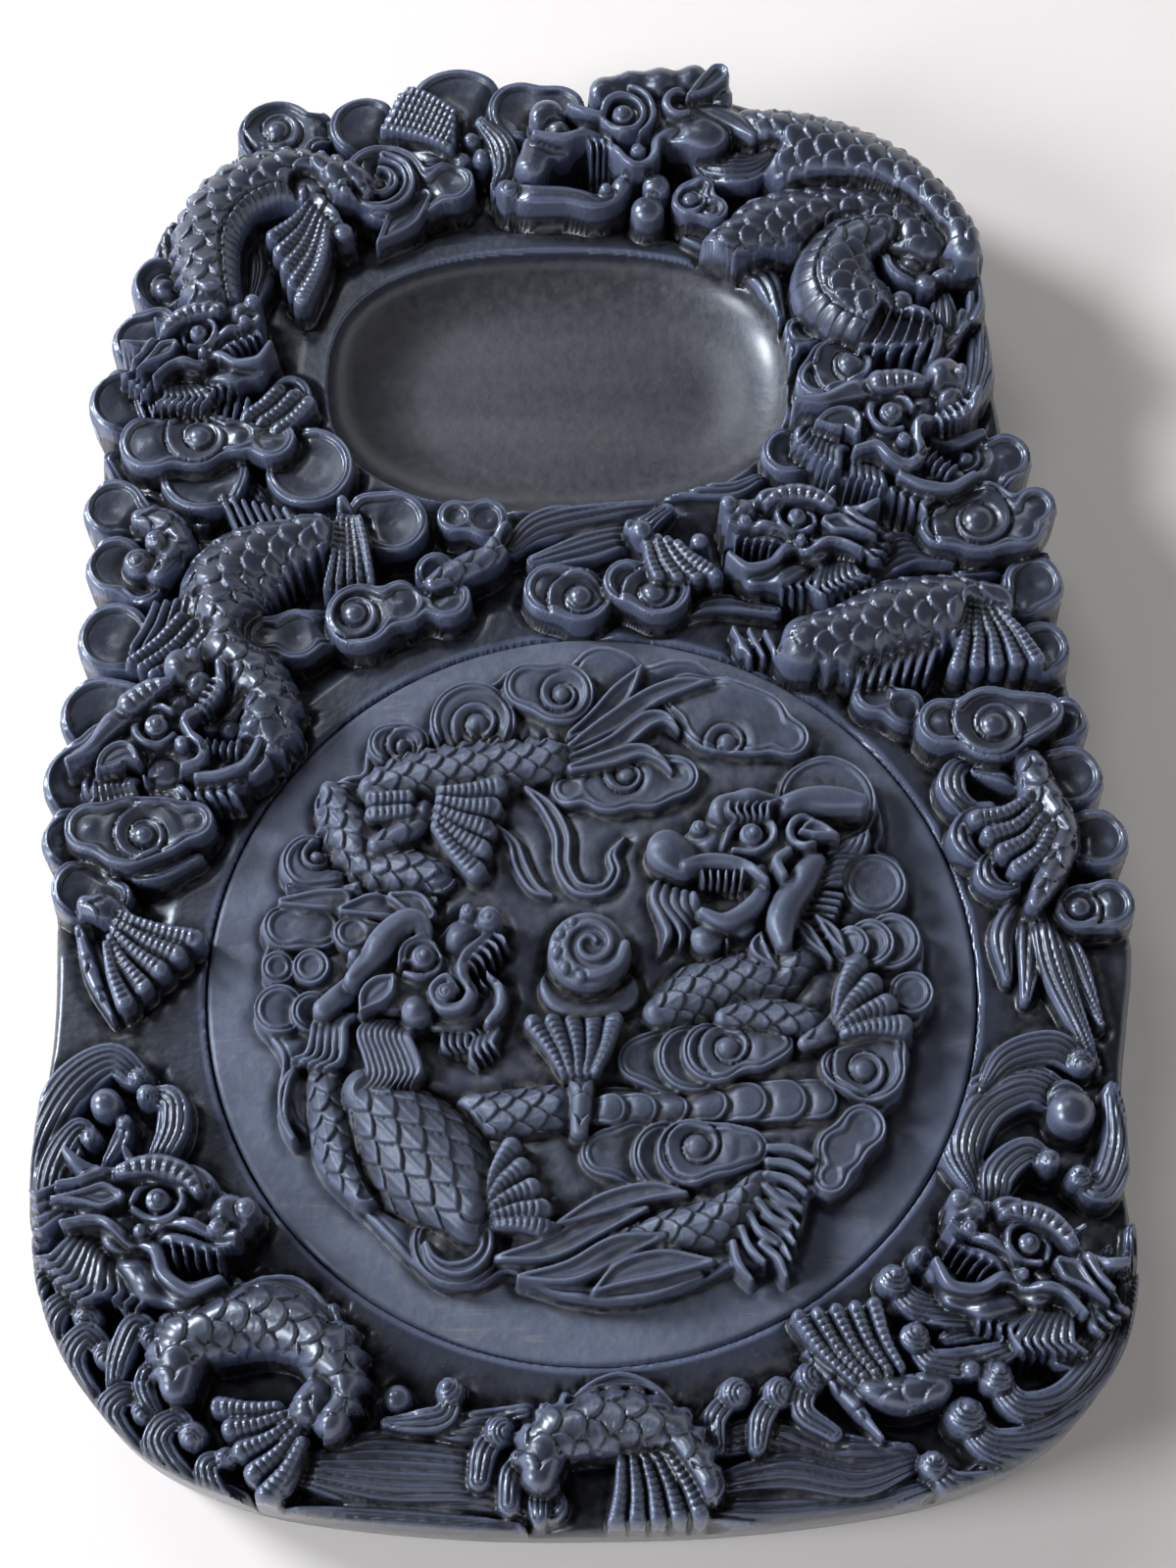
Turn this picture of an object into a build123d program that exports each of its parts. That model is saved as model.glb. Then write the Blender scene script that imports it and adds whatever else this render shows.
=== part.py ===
from build123d import *
from math import copysign, cos, pi, sin
import os

# Ink stone: a carved stone body with an oval pool, and a round carved lid over the grinding well.
# The origin is the middle of the base, on the table. +Z is up and +Y points to the end with the pool.

# Overall sizes
stone_length = 295.0
stone_width = 201.0
field_height = 24.0         # the polished ground of the carving, level with the rim of the lid

# Wall of the body
wall_lean = 2.0             # how far the wall draws in between the field and the foot
foot_bevel = 2.5            # worn lower edge
cut_overrun = 2.0

# Round seat, ledge and grinding well
lid_diameter = 140.0
lid_centre_y = -50.0
lid_rim_thickness = 6.0
seat_play = 0.35            # gap round the rim, and round the plug
plug_diameter = 118.0
plug_depth = 3.0
well_depth = 9.0            # below the ledge that carries the lid
well_floor_rounding = 5.0

# Oval pool
pool_length = 92.0          # across the stone
pool_width = 60.0
pool_squareness = 2.5       # 2 is an ellipse, and more is fuller at the corners
pool_outline_points = 32
pool_centre_x = -5.0
pool_centre_y = 78.0
pool_depth = 8.0
pool_floor_rounding = 5.0

# Relief on the body, as heights above the field
band_relief = 4.0
cloud_relief = 5.5
cloud_rounding = 2.0
relief_root = 9.0           # how far the relief reaches down the wall
curl_relief = 6.0
wave_relief = 7.0
claw_relief = 7.5
coil_relief = 11.5
head_relief = 15.0

# Sizes of a full dragon head and claw
head_length = 30.0
claw_length = 14.0
claw_thickness = 3.8

# Relief on the lid, as heights above its rim
lid_bank_relief = 5.5
lid_bank_rounding = 1.0
lid_cloud_relief = 7.5
lid_band_relief = 7.5
lid_coil_relief = 8.5
lid_claw_relief = 9.5
lid_head_relief = 12.5
pearl_relief = 13.0
pearl_diameter = 15.0

half_length = stone_length / 2
half_width = stone_width / 2
lid_radius = lid_diameter / 2
seat_radius = lid_radius + seat_play
plug_radius = plug_diameter / 2
well_radius = plug_radius + seat_play
ledge_height = field_height - lid_rim_thickness
well_floor = ledge_height - well_depth
pool_floor = field_height - pool_depth
lid_centre = (0, lid_centre_y)
relief_bottom = field_height - relief_root
clear_height = head_relief + cut_overrun
round_share = 0.7           # rounding of a boss's top, against half its width
LOWEST = (Align.CENTER, Align.CENTER, Align.MIN)

# Plan of the wall, as shares of the half width and the half length
wall_shares = [
    (0.00, 0.975), (0.22, 0.985), (0.40, 0.970), (0.55, 0.925), (0.68, 0.840), (0.765, 0.740),
    (0.805, 0.600), (0.830, 0.430), (0.880, 0.280), (0.915, 0.080), (0.945, -0.080), (0.978, -0.240),
    (0.975, -0.350), (0.945, -0.480), (0.937, -0.620), (0.915, -0.780), (0.790, -0.900), (0.560, -0.970),
    (0.00, -0.998), (-0.560, -0.970), (-0.790, -0.900), (-0.935, -0.770), (-0.980, -0.600),
    (-0.968, -0.420), (-0.975, -0.200), (-0.960, -0.030), (-0.935, 0.160), (-0.940, 0.400),
    (-0.890, 0.650), (-0.785, 0.825), (-0.600, 0.925), (-0.380, 0.955),
]

# Cloud lobes of the border: centre as shares of the half width and half length, and radius
# as a share of the half width
border_cloud_shares = [
    (-0.249, 0.921, 0.115), (-0.438, 0.915, 0.075), (-0.617, 0.903, 0.085), (-0.085, 0.932, 0.068),
    (-0.836, 0.662, 0.065), (-0.872, 0.573, 0.062), (-0.893, 0.480, 0.076), (-0.840, 0.415, 0.065),
    (-0.904, 0.315, 0.064), (-0.895, 0.232, 0.062), (-0.890, 0.127, 0.074), (-0.910, 0.018, 0.078),
    (-0.914, -0.073, 0.086), (-0.937, -0.150, 0.063), (-0.920, -0.218, 0.063),
    (0.730, 0.700, 0.060), (0.817, 0.376, 0.054), (0.866, 0.300, 0.044), (0.850, 0.190, 0.060),
    (0.856, 0.095, 0.057), (0.885, -0.008, 0.050), (0.890, -0.085, 0.063), (0.940, -0.170, 0.060),
    (0.940, -0.258, 0.050),
]

# Clouds that stand inside the border
inner_cloud_shares = [
    (-0.397, 0.824, 0.088), (-0.265, 0.820, 0.052), (-0.535, 0.915, 0.045), (-0.785, 0.670, 0.040),
    (-0.577, 0.485, 0.048), (-0.532, 0.376, 0.086), (-0.368, 0.291, 0.068), (-0.190, 0.295, 0.045),
    (-0.736, 0.370, 0.086), (-0.755, 0.425, 0.072), (-0.640, 0.420, 0.055), (-0.560, 0.128, 0.055),
    (-0.428, 0.155, 0.066), (-0.348, 0.172, 0.050), (-0.264, 0.179, 0.047), (-0.845, -0.143, 0.070),
    (-0.785, -0.137, 0.058), (-0.725, -0.130, 0.040), (-0.065, 0.190, 0.055), (-0.010, 0.180, 0.060),
    (0.080, 0.200, 0.048), (0.140, 0.190, 0.062), (0.398, 0.390, 0.055), (0.565, 0.022, 0.055),
    (0.700, -0.083, 0.055), (0.770, -0.088, 0.054), (0.680, -0.165, 0.054), (0.755, 0.284, 0.080),
    (0.687, 0.270, 0.046), (0.660, -0.010, 0.050), (0.750, -0.013, 0.075), (0.815, -0.003, 0.050),
    (0.665, 0.685, 0.060), (0.510, 0.522, 0.058), (0.230, 0.775, 0.044), (0.280, 0.765, 0.034),
]

# Low bands of waves, tails and hair: start and end, and half the width as a share of the half width
band_shares = [
    (-0.50, -0.925, -0.15, -0.945, 0.060), (0.22, -0.925, 0.50, -0.925, 0.048),
    (-0.12, 0.250, 0.13, 0.300, 0.038), (0.80, -0.255, 0.885, -0.450, 0.045),
    (-0.64, 0.860, -0.36, 0.860, 0.040), (0.44, 0.210, 0.69, 0.230, 0.042),
    (-0.65, 0.355, -0.50, 0.305, 0.035), (0.20, 0.855, 0.36, 0.800, 0.050),
    (0.60, 0.560, 0.74, 0.560, 0.045), (0.74, 0.480, 0.79, 0.620, 0.030),
]

# Arched crests of the waves: start, middle and end of each arc, then half the width
curl_shares = [
    (-0.915, -0.600, -0.890, -0.465, -0.780, -0.468, 0.040),
    (0.660, -0.620, 0.685, -0.510, 0.830, -0.505, 0.048),
    (0.895, -0.510, 0.895, -0.600, 0.835, -0.612, 0.032),
    (0.870, -0.790, 0.790, -0.870, 0.705, -0.865, 0.042),
    (-0.925, -0.680, -0.845, -0.845, -0.640, -0.925, 0.036),
    (0.560, -0.800, 0.640, -0.765, 0.740, -0.775, 0.034),
]

# Rolled ends of the waves: centre and radius
wave_shares = [
    (-0.842, -0.515, 0.040), (-0.710, -0.520, 0.036), (-0.895, -0.722, 0.038), (-0.842, -0.760, 0.038),
    (-0.825, -0.820, 0.042), (-0.755, -0.795, 0.038), (-0.725, -0.840, 0.036), (-0.765, -0.875, 0.038),
    (-0.685, -0.870, 0.036), (-0.250, -0.850, 0.030), (-0.160, -0.895, 0.032), (0.235, -0.855, 0.034),
    (0.310, -0.855, 0.034), (0.365, -0.840, 0.034), (0.845, -0.520, 0.045), (0.500, -0.722, 0.042),
    (0.560, -0.700, 0.038), (0.550, -0.790, 0.036), (0.635, -0.900, 0.038), (0.790, -0.795, 0.040),
    (0.575, -0.930, 0.030),
]

# Round dragon bodies: start, middle and end of each arc, then half the width
coil_shares = [
    (0.345, 0.874, 0.600, 0.805, 0.750, 0.700, 0.086),
    (0.285, 0.700, 0.475, 0.748, 0.670, 0.700, 0.068),
    (0.645, 0.585, 0.515, 0.640, 0.590, 0.715, 0.078),
    (-0.460, 0.805, -0.690, 0.792, -0.730, 0.625, 0.062),
    (-0.460, 0.262, -0.685, 0.165, -0.605, 0.005, 0.072),
    (0.765, 0.152, 0.580, 0.142, 0.415, 0.105, 0.074),
    (-0.705, -0.835, -0.580, -0.765, -0.460, -0.865, 0.056),
    (-0.095, -0.940, 0.030, -0.885, 0.165, -0.945, 0.048),
]

# Dragon heads: centre as shares, heading in degrees from +X, size against the full head, and
# the side of the brow, 1 on the left of the heading and -1 on its right
head_shares = [
    (0.093, 0.893, 178, 0.97, -1),
    (-0.750, 0.559, 28, 0.80, 1),
    (0.592, 0.416, 35, 1.00, 1),
    (0.402, 0.269, 172, 0.85, -1),
    (-0.785, -0.020, 62, 0.86, 1),
    (-0.755, -0.628, -14, 0.93, 1),
    (0.740, -0.695, 150, 0.86, -1),
]

# What a head is made of, as shares of its length forward of the eye and towards the brow: start and
# end of each bar, half its width, and how far its top stays below the head's
head_bar_shares = [
    (-0.25, 0.03, 0.28, 0.02, 0.24, 0.08),
    (-0.10, -0.42, 0.40, -0.63, 0.12, 0.16),
    (-0.10, 0.25, -0.58, 0.42, 0.08, 0.02),
]
mane_bar_shares = [
    (-0.40, 0.02, -0.69, -0.28, 0.12, 0.18),
    (-0.26, -0.34, -0.44, -0.60, 0.12, 0.20),
]
head_knob_shares = [(0.51, 0.02, 0.16, 0.03), (0.10, 0.19, 0.14, 0.0)]

# Claws: root as shares, and heading in degrees from +X
claw_shares = [
    (-0.53, 0.745, -105), (-0.455, 0.265, -88), (0.755, 0.120, -90), (-0.86, -0.265, -50),
    (0.475, -0.830, 112), (-0.52, -0.860, -120), (0.08, -0.882, -80), (-0.38, 0.935, -35),
    (0.155, 0.245, -60),
]
claw_toe_shares = [(-30, 0.75), (-10, 1.0), (10, 1.0), (30, 0.75)]

# Lobes of the cloud bank on the lid: centre and radius as shares of the lid's radius
lid_bank_shares = [
    (0.00, 0.00, 0.690), (0.07, 0.77, 0.140), (0.29, 0.75, 0.110), (0.43, 0.66, 0.150), (0.61, 0.44, 0.155),
    (0.69, 0.21, 0.130), (0.73, 0.07, 0.120), (0.71, -0.09, 0.125), (0.66, -0.25, 0.125),
    (0.59, -0.45, 0.135), (0.42, -0.61, 0.145), (0.20, -0.71, 0.125), (0.00, -0.72, 0.125),
    (-0.17, -0.68, 0.125), (-0.36, -0.65, 0.125), (-0.54, -0.55, 0.125), (-0.66, -0.36, 0.130),
    (-0.72, -0.13, 0.125), (-0.745, 0.13, 0.110), (-0.69, 0.32, 0.115), (-0.58, 0.52, 0.125),
    (-0.47, 0.65, 0.105), (-0.29, 0.73, 0.125), (-0.09, 0.77, 0.125),
]

# Clouds that stand on the bank
lid_cloud_shares = [
    (-0.064, 0.785, 0.080), (-0.300, 0.710, 0.100), (0.360, 0.625, 0.095), (0.470, 0.655, 0.050),
    (0.080, 0.540, 0.075), (0.200, 0.545, 0.055), (0.300, -0.225, 0.090), (0.420, -0.210, 0.065),
    (0.235, -0.490, 0.088), (0.350, -0.480, 0.065), (0.690, -0.275, 0.075),
]

# Hair, tongues of cloud and leaves on the lid: start, end and half the width
lid_band_shares = [
    (0.03, -0.360, 0.60, -0.355, 0.048), (-0.59, -0.110, -0.72, -0.260, 0.050),
    (-0.51, -0.130, -0.52, -0.330, 0.065), (-0.24, -0.750, 0.13, -0.640, 0.050),
    (-0.04, 0.640, 0.28, 0.780, 0.050), (-0.035, -0.430, -0.03, -0.290, 0.032),
    (-0.31, -0.370, -0.07, -0.355, 0.062), (0.42, -0.550, 0.50, -0.780, 0.060),
]

# Round bodies of the two dragons on the lid
lid_coil_shares = [
    (-0.657, 0.485, -0.586, 0.367, -0.414, 0.274, 0.078),
    (-0.557, 0.527, -0.314, 0.585, -0.071, 0.609, 0.070),
    (-0.540, -0.340, -0.455, -0.470, -0.345, -0.565, 0.135),
    (0.171, -0.111, 0.360, -0.040, 0.540, 0.040, 0.085),
    (0.060, -0.710, 0.250, -0.670, 0.410, -0.570, 0.058),
]
lid_claw_shares = [(-0.41, 0.45, -20), (-0.03, -0.29, 96), (-0.26, -0.63, 36), (0.63, -0.16, 38)]
lid_head_shares = [(-0.43, 0.028, 42, 0.92, 1), (0.42, 0.35, 187, 1.00, -1)]
pearl_share = 0.03          # how far the pearl lies from the lid's centre, towards the pool


def on_body(x_share, y_share):
    return (half_width * x_share, half_length * y_share)


def on_lid(x_share, y_share):
    return (lid_radius * x_share, lid_centre_y + lid_radius * y_share)


def wall_outline(inset, height):
    reach_x = half_width - inset
    reach_y = half_length - inset
    points = [(reach_x * x_share, reach_y * y_share) for x_share, y_share in wall_shares]
    return Pos(0, 0, height) * make_face(Spline(*points, periodic=True))


def boss(plan, bottom, top, rounding):
    solid = Pos(0, 0, bottom) * extrude(plan, top - bottom)
    return fillet(solid.edges().group_by(Axis.Z)[-1], rounding)


def lobe(place, radius, bottom, top, rounding):
    return boss(Pos(*place) * Circle(radius), bottom, top, rounding)


def knob(place, radius, bottom, top):
    return lobe(place, radius, bottom, top, radius * round_share)


def coil(places, radius, bottom, top):
    band = SlotArc(ThreePointArc(*places), radius * 2)
    return boss(band, bottom, top, radius * round_share)


def bar(where, start, end, radius, bottom, top):
    middle = ((start[0] + end[0]) / 2, (start[1] + end[1]) / 2)
    return boss(where * SlotCenterPoint(middle, end, radius * 2), bottom, top, radius * round_share)


def dragon_head(place, heading, size, brow_side, bars, bottom, top):
    eye = Pos(*place) * Rot(0, 0, heading)
    length = head_length * size
    pieces = []
    for from_x, from_y, to_x, to_y, radius_share, drop in bars:
        start = (length * from_x, length * from_y * brow_side)
        end = (length * to_x, length * to_y * brow_side)
        pieces.append(bar(eye, start, end, length * radius_share, bottom, top - length * drop))
    for x_share, y_share, radius_share, drop in head_knob_shares:
        spot = (eye * Pos(length * x_share, length * y_share * brow_side)).position
        pieces.append(knob((spot.X, spot.Y), length * radius_share, bottom, top - length * drop))
    return pieces


def claw(place, heading, bottom, top):
    toes = []
    for spread, reach_share in claw_toe_shares:
        reach = claw_length * reach_share
        toe = Pos(*place) * Rot(0, 0, heading + spread) * Pos(reach / 2, 0)
        plan = toe * SlotCenterToCenter(reach, claw_thickness)
        toes.append(boss(plan, bottom, top, claw_thickness / 2 * round_share))
    return toes


def pool_point(turn):
    across, along = cos(turn), sin(turn)
    bend = 2 / pool_squareness
    return (copysign(abs(across) ** bend, across) * pool_length / 2,
            copysign(abs(along) ** bend, along) * pool_width / 2)


def pool_cut():
    turns = [2 * pi * k / pool_outline_points for k in range(pool_outline_points)]
    plan = make_face(Spline(*[pool_point(turn) for turn in turns], periodic=True))
    bowl = extrude(plan, pool_depth + clear_height)
    bowl = fillet(bowl.edges().group_by(Axis.Z)[0], pool_floor_rounding)
    return Pos(pool_centre_x, pool_centre_y, pool_floor) * bowl


def well_cut():
    well = Cylinder(well_radius, well_depth + cut_overrun, align=LOWEST)
    well = fillet(well.edges().group_by(Axis.Z)[0], well_floor_rounding)
    return Pos(*lid_centre, well_floor) * well


def seat_cut():
    depth = lid_rim_thickness + clear_height
    return Pos(*lid_centre, ledge_height) * Cylinder(seat_radius, depth, align=LOWEST)


def make_stone_body():
    foot = wall_outline(wall_lean + foot_bevel, 0)
    ankle = wall_outline(wall_lean, foot_bevel)
    shoulder = wall_outline(0, field_height)
    slab = loft([foot, ankle, shoulder], ruled=True)

    relief = []
    for x_share, y_share, radius_share in border_cloud_shares + inner_cloud_shares:
        relief.append(lobe(on_body(x_share, y_share), half_width * radius_share,
                           relief_bottom, field_height + cloud_relief, cloud_rounding))
    for from_x, from_y, to_x, to_y, radius_share in band_shares:
        relief.append(bar(Pos(0, 0), on_body(from_x, from_y), on_body(to_x, to_y),
                          half_width * radius_share, relief_bottom, field_height + band_relief))
    for x_share, y_share, radius_share in wave_shares:
        relief.append(knob(on_body(x_share, y_share), half_width * radius_share,
                           relief_bottom, field_height + wave_relief))
    for table, height in ((curl_shares, curl_relief), (coil_shares, coil_relief)):
        for shares in table:
            places = [on_body(*shares[i:i + 2]) for i in (0, 2, 4)]
            relief.append(coil(places, half_width * shares[6], relief_bottom, field_height + height))
    for x_share, y_share, heading, size, brow_side in head_shares:
        relief += dragon_head(on_body(x_share, y_share), heading, size, brow_side,
                              head_bar_shares + mane_bar_shares, relief_bottom, field_height + head_relief)
    for x_share, y_share, heading in claw_shares:
        relief += claw(on_body(x_share, y_share), heading, relief_bottom, field_height + claw_relief)

    body = slab
    for piece in relief:
        body = body.fuse(piece)
    return body.cut(pool_cut(), well_cut(), seat_cut())


def make_lid():
    rim = Pos(*lid_centre, ledge_height) * Cylinder(lid_radius, lid_rim_thickness, align=LOWEST)
    plug = Pos(*lid_centre, ledge_height - plug_depth) * Cylinder(plug_radius, plug_depth, align=LOWEST)
    root = field_height - lid_rim_thickness / 2
    relief = [plug]
    for table, height in ((lid_bank_shares, lid_bank_relief), (lid_cloud_shares, lid_cloud_relief)):
        for x_share, y_share, radius_share in table:
            relief.append(lobe(on_lid(x_share, y_share), lid_radius * radius_share,
                               root, field_height + height, lid_bank_rounding))
    for from_x, from_y, to_x, to_y, radius_share in lid_band_shares:
        relief.append(bar(Pos(0, 0), on_lid(from_x, from_y), on_lid(to_x, to_y),
                          lid_radius * radius_share, root, field_height + lid_band_relief))
    for shares in lid_coil_shares:
        places = [on_lid(*shares[i:i + 2]) for i in (0, 2, 4)]
        relief.append(coil(places, lid_radius * shares[6], root, field_height + lid_coil_relief))
    for x_share, y_share, heading in lid_claw_shares:
        relief += claw(on_lid(x_share, y_share), heading, root, field_height + lid_claw_relief)
    for x_share, y_share, heading, size, brow_side in lid_head_shares:
        relief += dragon_head(on_lid(x_share, y_share), heading, size, brow_side,
                              head_bar_shares, root, field_height + lid_head_relief)
    relief.append(knob(on_lid(0, pearl_share), pearl_diameter / 2, root, field_height + pearl_relief))
    lid = rim
    for piece in relief:
        lid = lid.fuse(piece)
    return lid


os.makedirs("parts", exist_ok=True)
for name, make in {"stone_body": make_stone_body, "lid": make_lid}.items():
    solid = make()
    export_step(solid, f"parts/{name}.step")
    low = solid.bounding_box().min
    high = solid.bounding_box().max
    print(name, "from", low, "to", high)
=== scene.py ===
import math

import bpy
import numpy as np
from mathutils import Matrix, Vector


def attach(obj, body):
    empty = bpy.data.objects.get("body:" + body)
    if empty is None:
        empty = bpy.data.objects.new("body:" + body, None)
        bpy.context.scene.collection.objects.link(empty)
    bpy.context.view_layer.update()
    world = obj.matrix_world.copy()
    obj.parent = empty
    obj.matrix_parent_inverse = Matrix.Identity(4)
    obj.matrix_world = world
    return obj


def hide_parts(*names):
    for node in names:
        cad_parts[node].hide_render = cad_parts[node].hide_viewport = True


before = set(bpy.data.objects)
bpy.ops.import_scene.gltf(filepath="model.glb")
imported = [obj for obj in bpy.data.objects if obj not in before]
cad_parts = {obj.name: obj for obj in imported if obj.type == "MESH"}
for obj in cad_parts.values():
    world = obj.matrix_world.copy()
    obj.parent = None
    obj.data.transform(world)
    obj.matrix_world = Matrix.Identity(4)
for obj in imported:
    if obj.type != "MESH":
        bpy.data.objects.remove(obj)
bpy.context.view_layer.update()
mm = 0.001
print("frame loaded")

# The carving is worked out in millimetres on a grid of heights above the table, and
# becomes a mesh in metres. Places are read off the photograph on a level plane above
# the table, and seen() carries a reading down or up the line of sight to its height.
view = dict(place=(-0.1, -231.0, 528.5), tilt=23.609, roll=0.796, lens=67.5, readPlane=30.0, readShift=1.0)
grid = dict(step=0.3)


def seen(points, height):
    out = np.array(points, float)
    reach = (view["place"][2] - height) / (view["place"][2] - view["readPlane"])
    out[..., 0] = view["place"][0] + (out[..., 0] - view["place"][0]) * reach
    out[..., 1] = view["place"][1] + (out[..., 1] + view["readShift"] - view["place"][1]) * reach
    return out


# Carving tools

def ease(value, low, high):
    t = np.clip((value - low) / (high - low), 0.0, 1.0)
    return t * t * (3 - 2 * t)


def roundOff(depth, radius):
    t = 1 - np.clip(depth / radius, 0.0, 1.0)
    return np.sqrt(1 - t * t)


def furrow(value, at, width):
    return np.exp(-((value - at) / width) ** 2)


def smooth(heights, radius):
    out = heights
    for axis in (0, 1):
        for sweep in range(3):
            pad = [(0, 0), (0, 0)]
            pad[axis] = (radius + 1, radius)
            total = np.cumsum(np.pad(out, pad, mode="edge"), axis=axis)
            width = 2 * radius + 1
            if axis == 0:
                out = (total[width:] - total[:-width]) / width
            else:
                out = (total[:, width:] - total[:, :-width]) / width
    return out


def curveThrough(points, steps=7, closed=False):
    p = np.array(points, float)
    if closed:
        p = np.vstack([p[-1], p, p[0], p[1]])
    else:
        p = np.vstack([2 * p[0] - p[1], p, 2 * p[-1] - p[-2]])
    t = np.linspace(0, 1, steps, endpoint=False)[:, None]
    spans = []
    for a, b, c, d in zip(p[:-3], p[1:-2], p[2:-1], p[3:]):
        spans.append(0.5 * (2 * b + (c - a) * t + (2 * a - 5 * b + 4 * c - d) * t ** 2
                            + (3 * b - a - 3 * c + d) * t ** 3))
    if not closed:
        spans.append(p[-2][None])
    return np.vstack(spans)


class Relief:
    def __init__(self, low, high, step, level):
        self.step = step
        self.x = np.arange(low[0], high[0] + step / 2, step)
        self.y = np.arange(low[1], high[1] + step / 2, step)
        self.height = np.full((len(self.y), len(self.x)), float(level))

    def patch(self, points, reach):
        p = np.array(points, float)[..., :2].reshape(-1, 2)
        i = np.searchsorted(self.x, [p[:, 0].min() - reach, p[:, 0].max() + reach])
        j = np.searchsorted(self.y, [p[:, 1].min() - reach, p[:, 1].max() + reach])
        where = (slice(j[0], j[1]), slice(i[0], i[1]))
        x, y = np.meshgrid(self.x[where[1]], self.y[where[0]])
        return where, x, y

    def everywhere(self):
        return np.meshgrid(self.x, self.y)

    def sink(self, where, amount):
        self.height[where] -= amount

    def lay(self, where, cover, height):
        self.height[where] = self.height[where] * (1 - cover) + height * cover


def alongCurve(x, y, path):
    near = np.full(x.shape, 1e9)
    along = np.zeros(x.shape)
    aside = np.zeros(x.shape)
    radius = np.ones(x.shape)
    run = 0.0
    for a, b in zip(path[:-1], path[1:]):
        dx, dy = b[0] - a[0], b[1] - a[1]
        span = math.hypot(dx, dy) + 1e-9
        u = np.clip(((x - a[0]) * dx + (y - a[1]) * dy) / span ** 2, 0, 1)
        ox, oy = x - a[0] - u * dx, y - a[1] - u * dy
        gap = np.hypot(ox, oy)
        better = gap < near
        near = np.where(better, gap, near)
        along = np.where(better, run + u * span, along)
        aside = np.where(better, np.sign(dx * oy - dy * ox) * gap, aside)
        radius = np.where(better, a[2] + u * (b[2] - a[2]), radius)
        run += span
    return along, aside, radius


def scaleCoat(along, aside, radius, pitch=3.3, lift=1.9, broad=1.75, point=0.0):
    # rows of scales, each over the next; point turns a round scale into a pointed leaf with a rib
    around = np.arcsin(np.clip(aside / radius, -1, 1)) * radius / (pitch * broad)
    row = np.floor(along / pitch)

    def scale(r):
        v = 2 * (around - 0.5 * (r % 2) - np.round(around - 0.5 * (r % 2)))
        tip = 1.0 + 0.95 * (np.sqrt(np.clip(1 - v * v, 0, 1)) * (1 - point) + (1 - np.abs(v)) * point)
        edge = tip - (along / pitch - r)
        height = (0.1 + 0.9 * (1 - edge / tip)) * np.sqrt(1 - 0.6 * v * v) * roundOff(edge, 0.2)
        return edge, height + 0.22 * point * furrow(v, 0, 0.16) * roundOff(edge, 0.4)

    edgeFront, heightFront = scale(row - 1)
    edgeBack, heightBack = scale(row)
    return lift * (np.where(edgeFront > 0, heightFront, heightBack * (edgeBack > 0)) - 0.6)


def beadCoat(along, aside, radius, pitch=1.8, lift=0.6):
    return lift * (np.abs(np.sin(math.pi * along / pitch)) - 0.6) * np.clip(1 - (aside / radius) ** 2, 0, 1)


def toeCoat(along, aside, radius, pitch=1.25, lift=0.55):
    ring = np.abs(np.sin(math.pi * (along + 0.25 * aside ** 2 / radius) / pitch)) ** 0.7
    return lift * (ring - 0.6) * np.clip(1.15 - (aside / radius) ** 2, 0, 1) ** 0.5


def plateCoat(along, aside, radius, pitch=2.2, lift=0.7):
    across = np.abs(((along / pitch) % 1) - 0.5) * 2
    return lift * (roundOff(1 - across, 0.8) - 0.8)


def coilCoat(plates=0, pitch=3.3, broad=1.75, point=0.0):
    def coat(along, aside, radius):
        lift = scaleCoat(along, aside, radius, pitch, 1.9, broad, point)
        if plates:
            place = aside * plates / radius
            belt = ease(place, 0.40, 0.47)
            lift = lift * (1 - belt) + plateCoat(along, aside, radius) * belt
            lift = lift - 0.9 * furrow(place, 0.43, 0.05)
        return lift
    return coat


def arc(x, y, radius, start, end, width, count=7):
    turns = np.radians(np.linspace(start, end, count))
    widths = np.linspace(width, width, count) if np.isscalar(width) else np.interp(
        np.linspace(0, 1, count), np.linspace(0, 1, len(width)), width)
    return [(x + radius * math.cos(t), y + radius * math.sin(t), w) for t, w in zip(turns, widths)]


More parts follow.
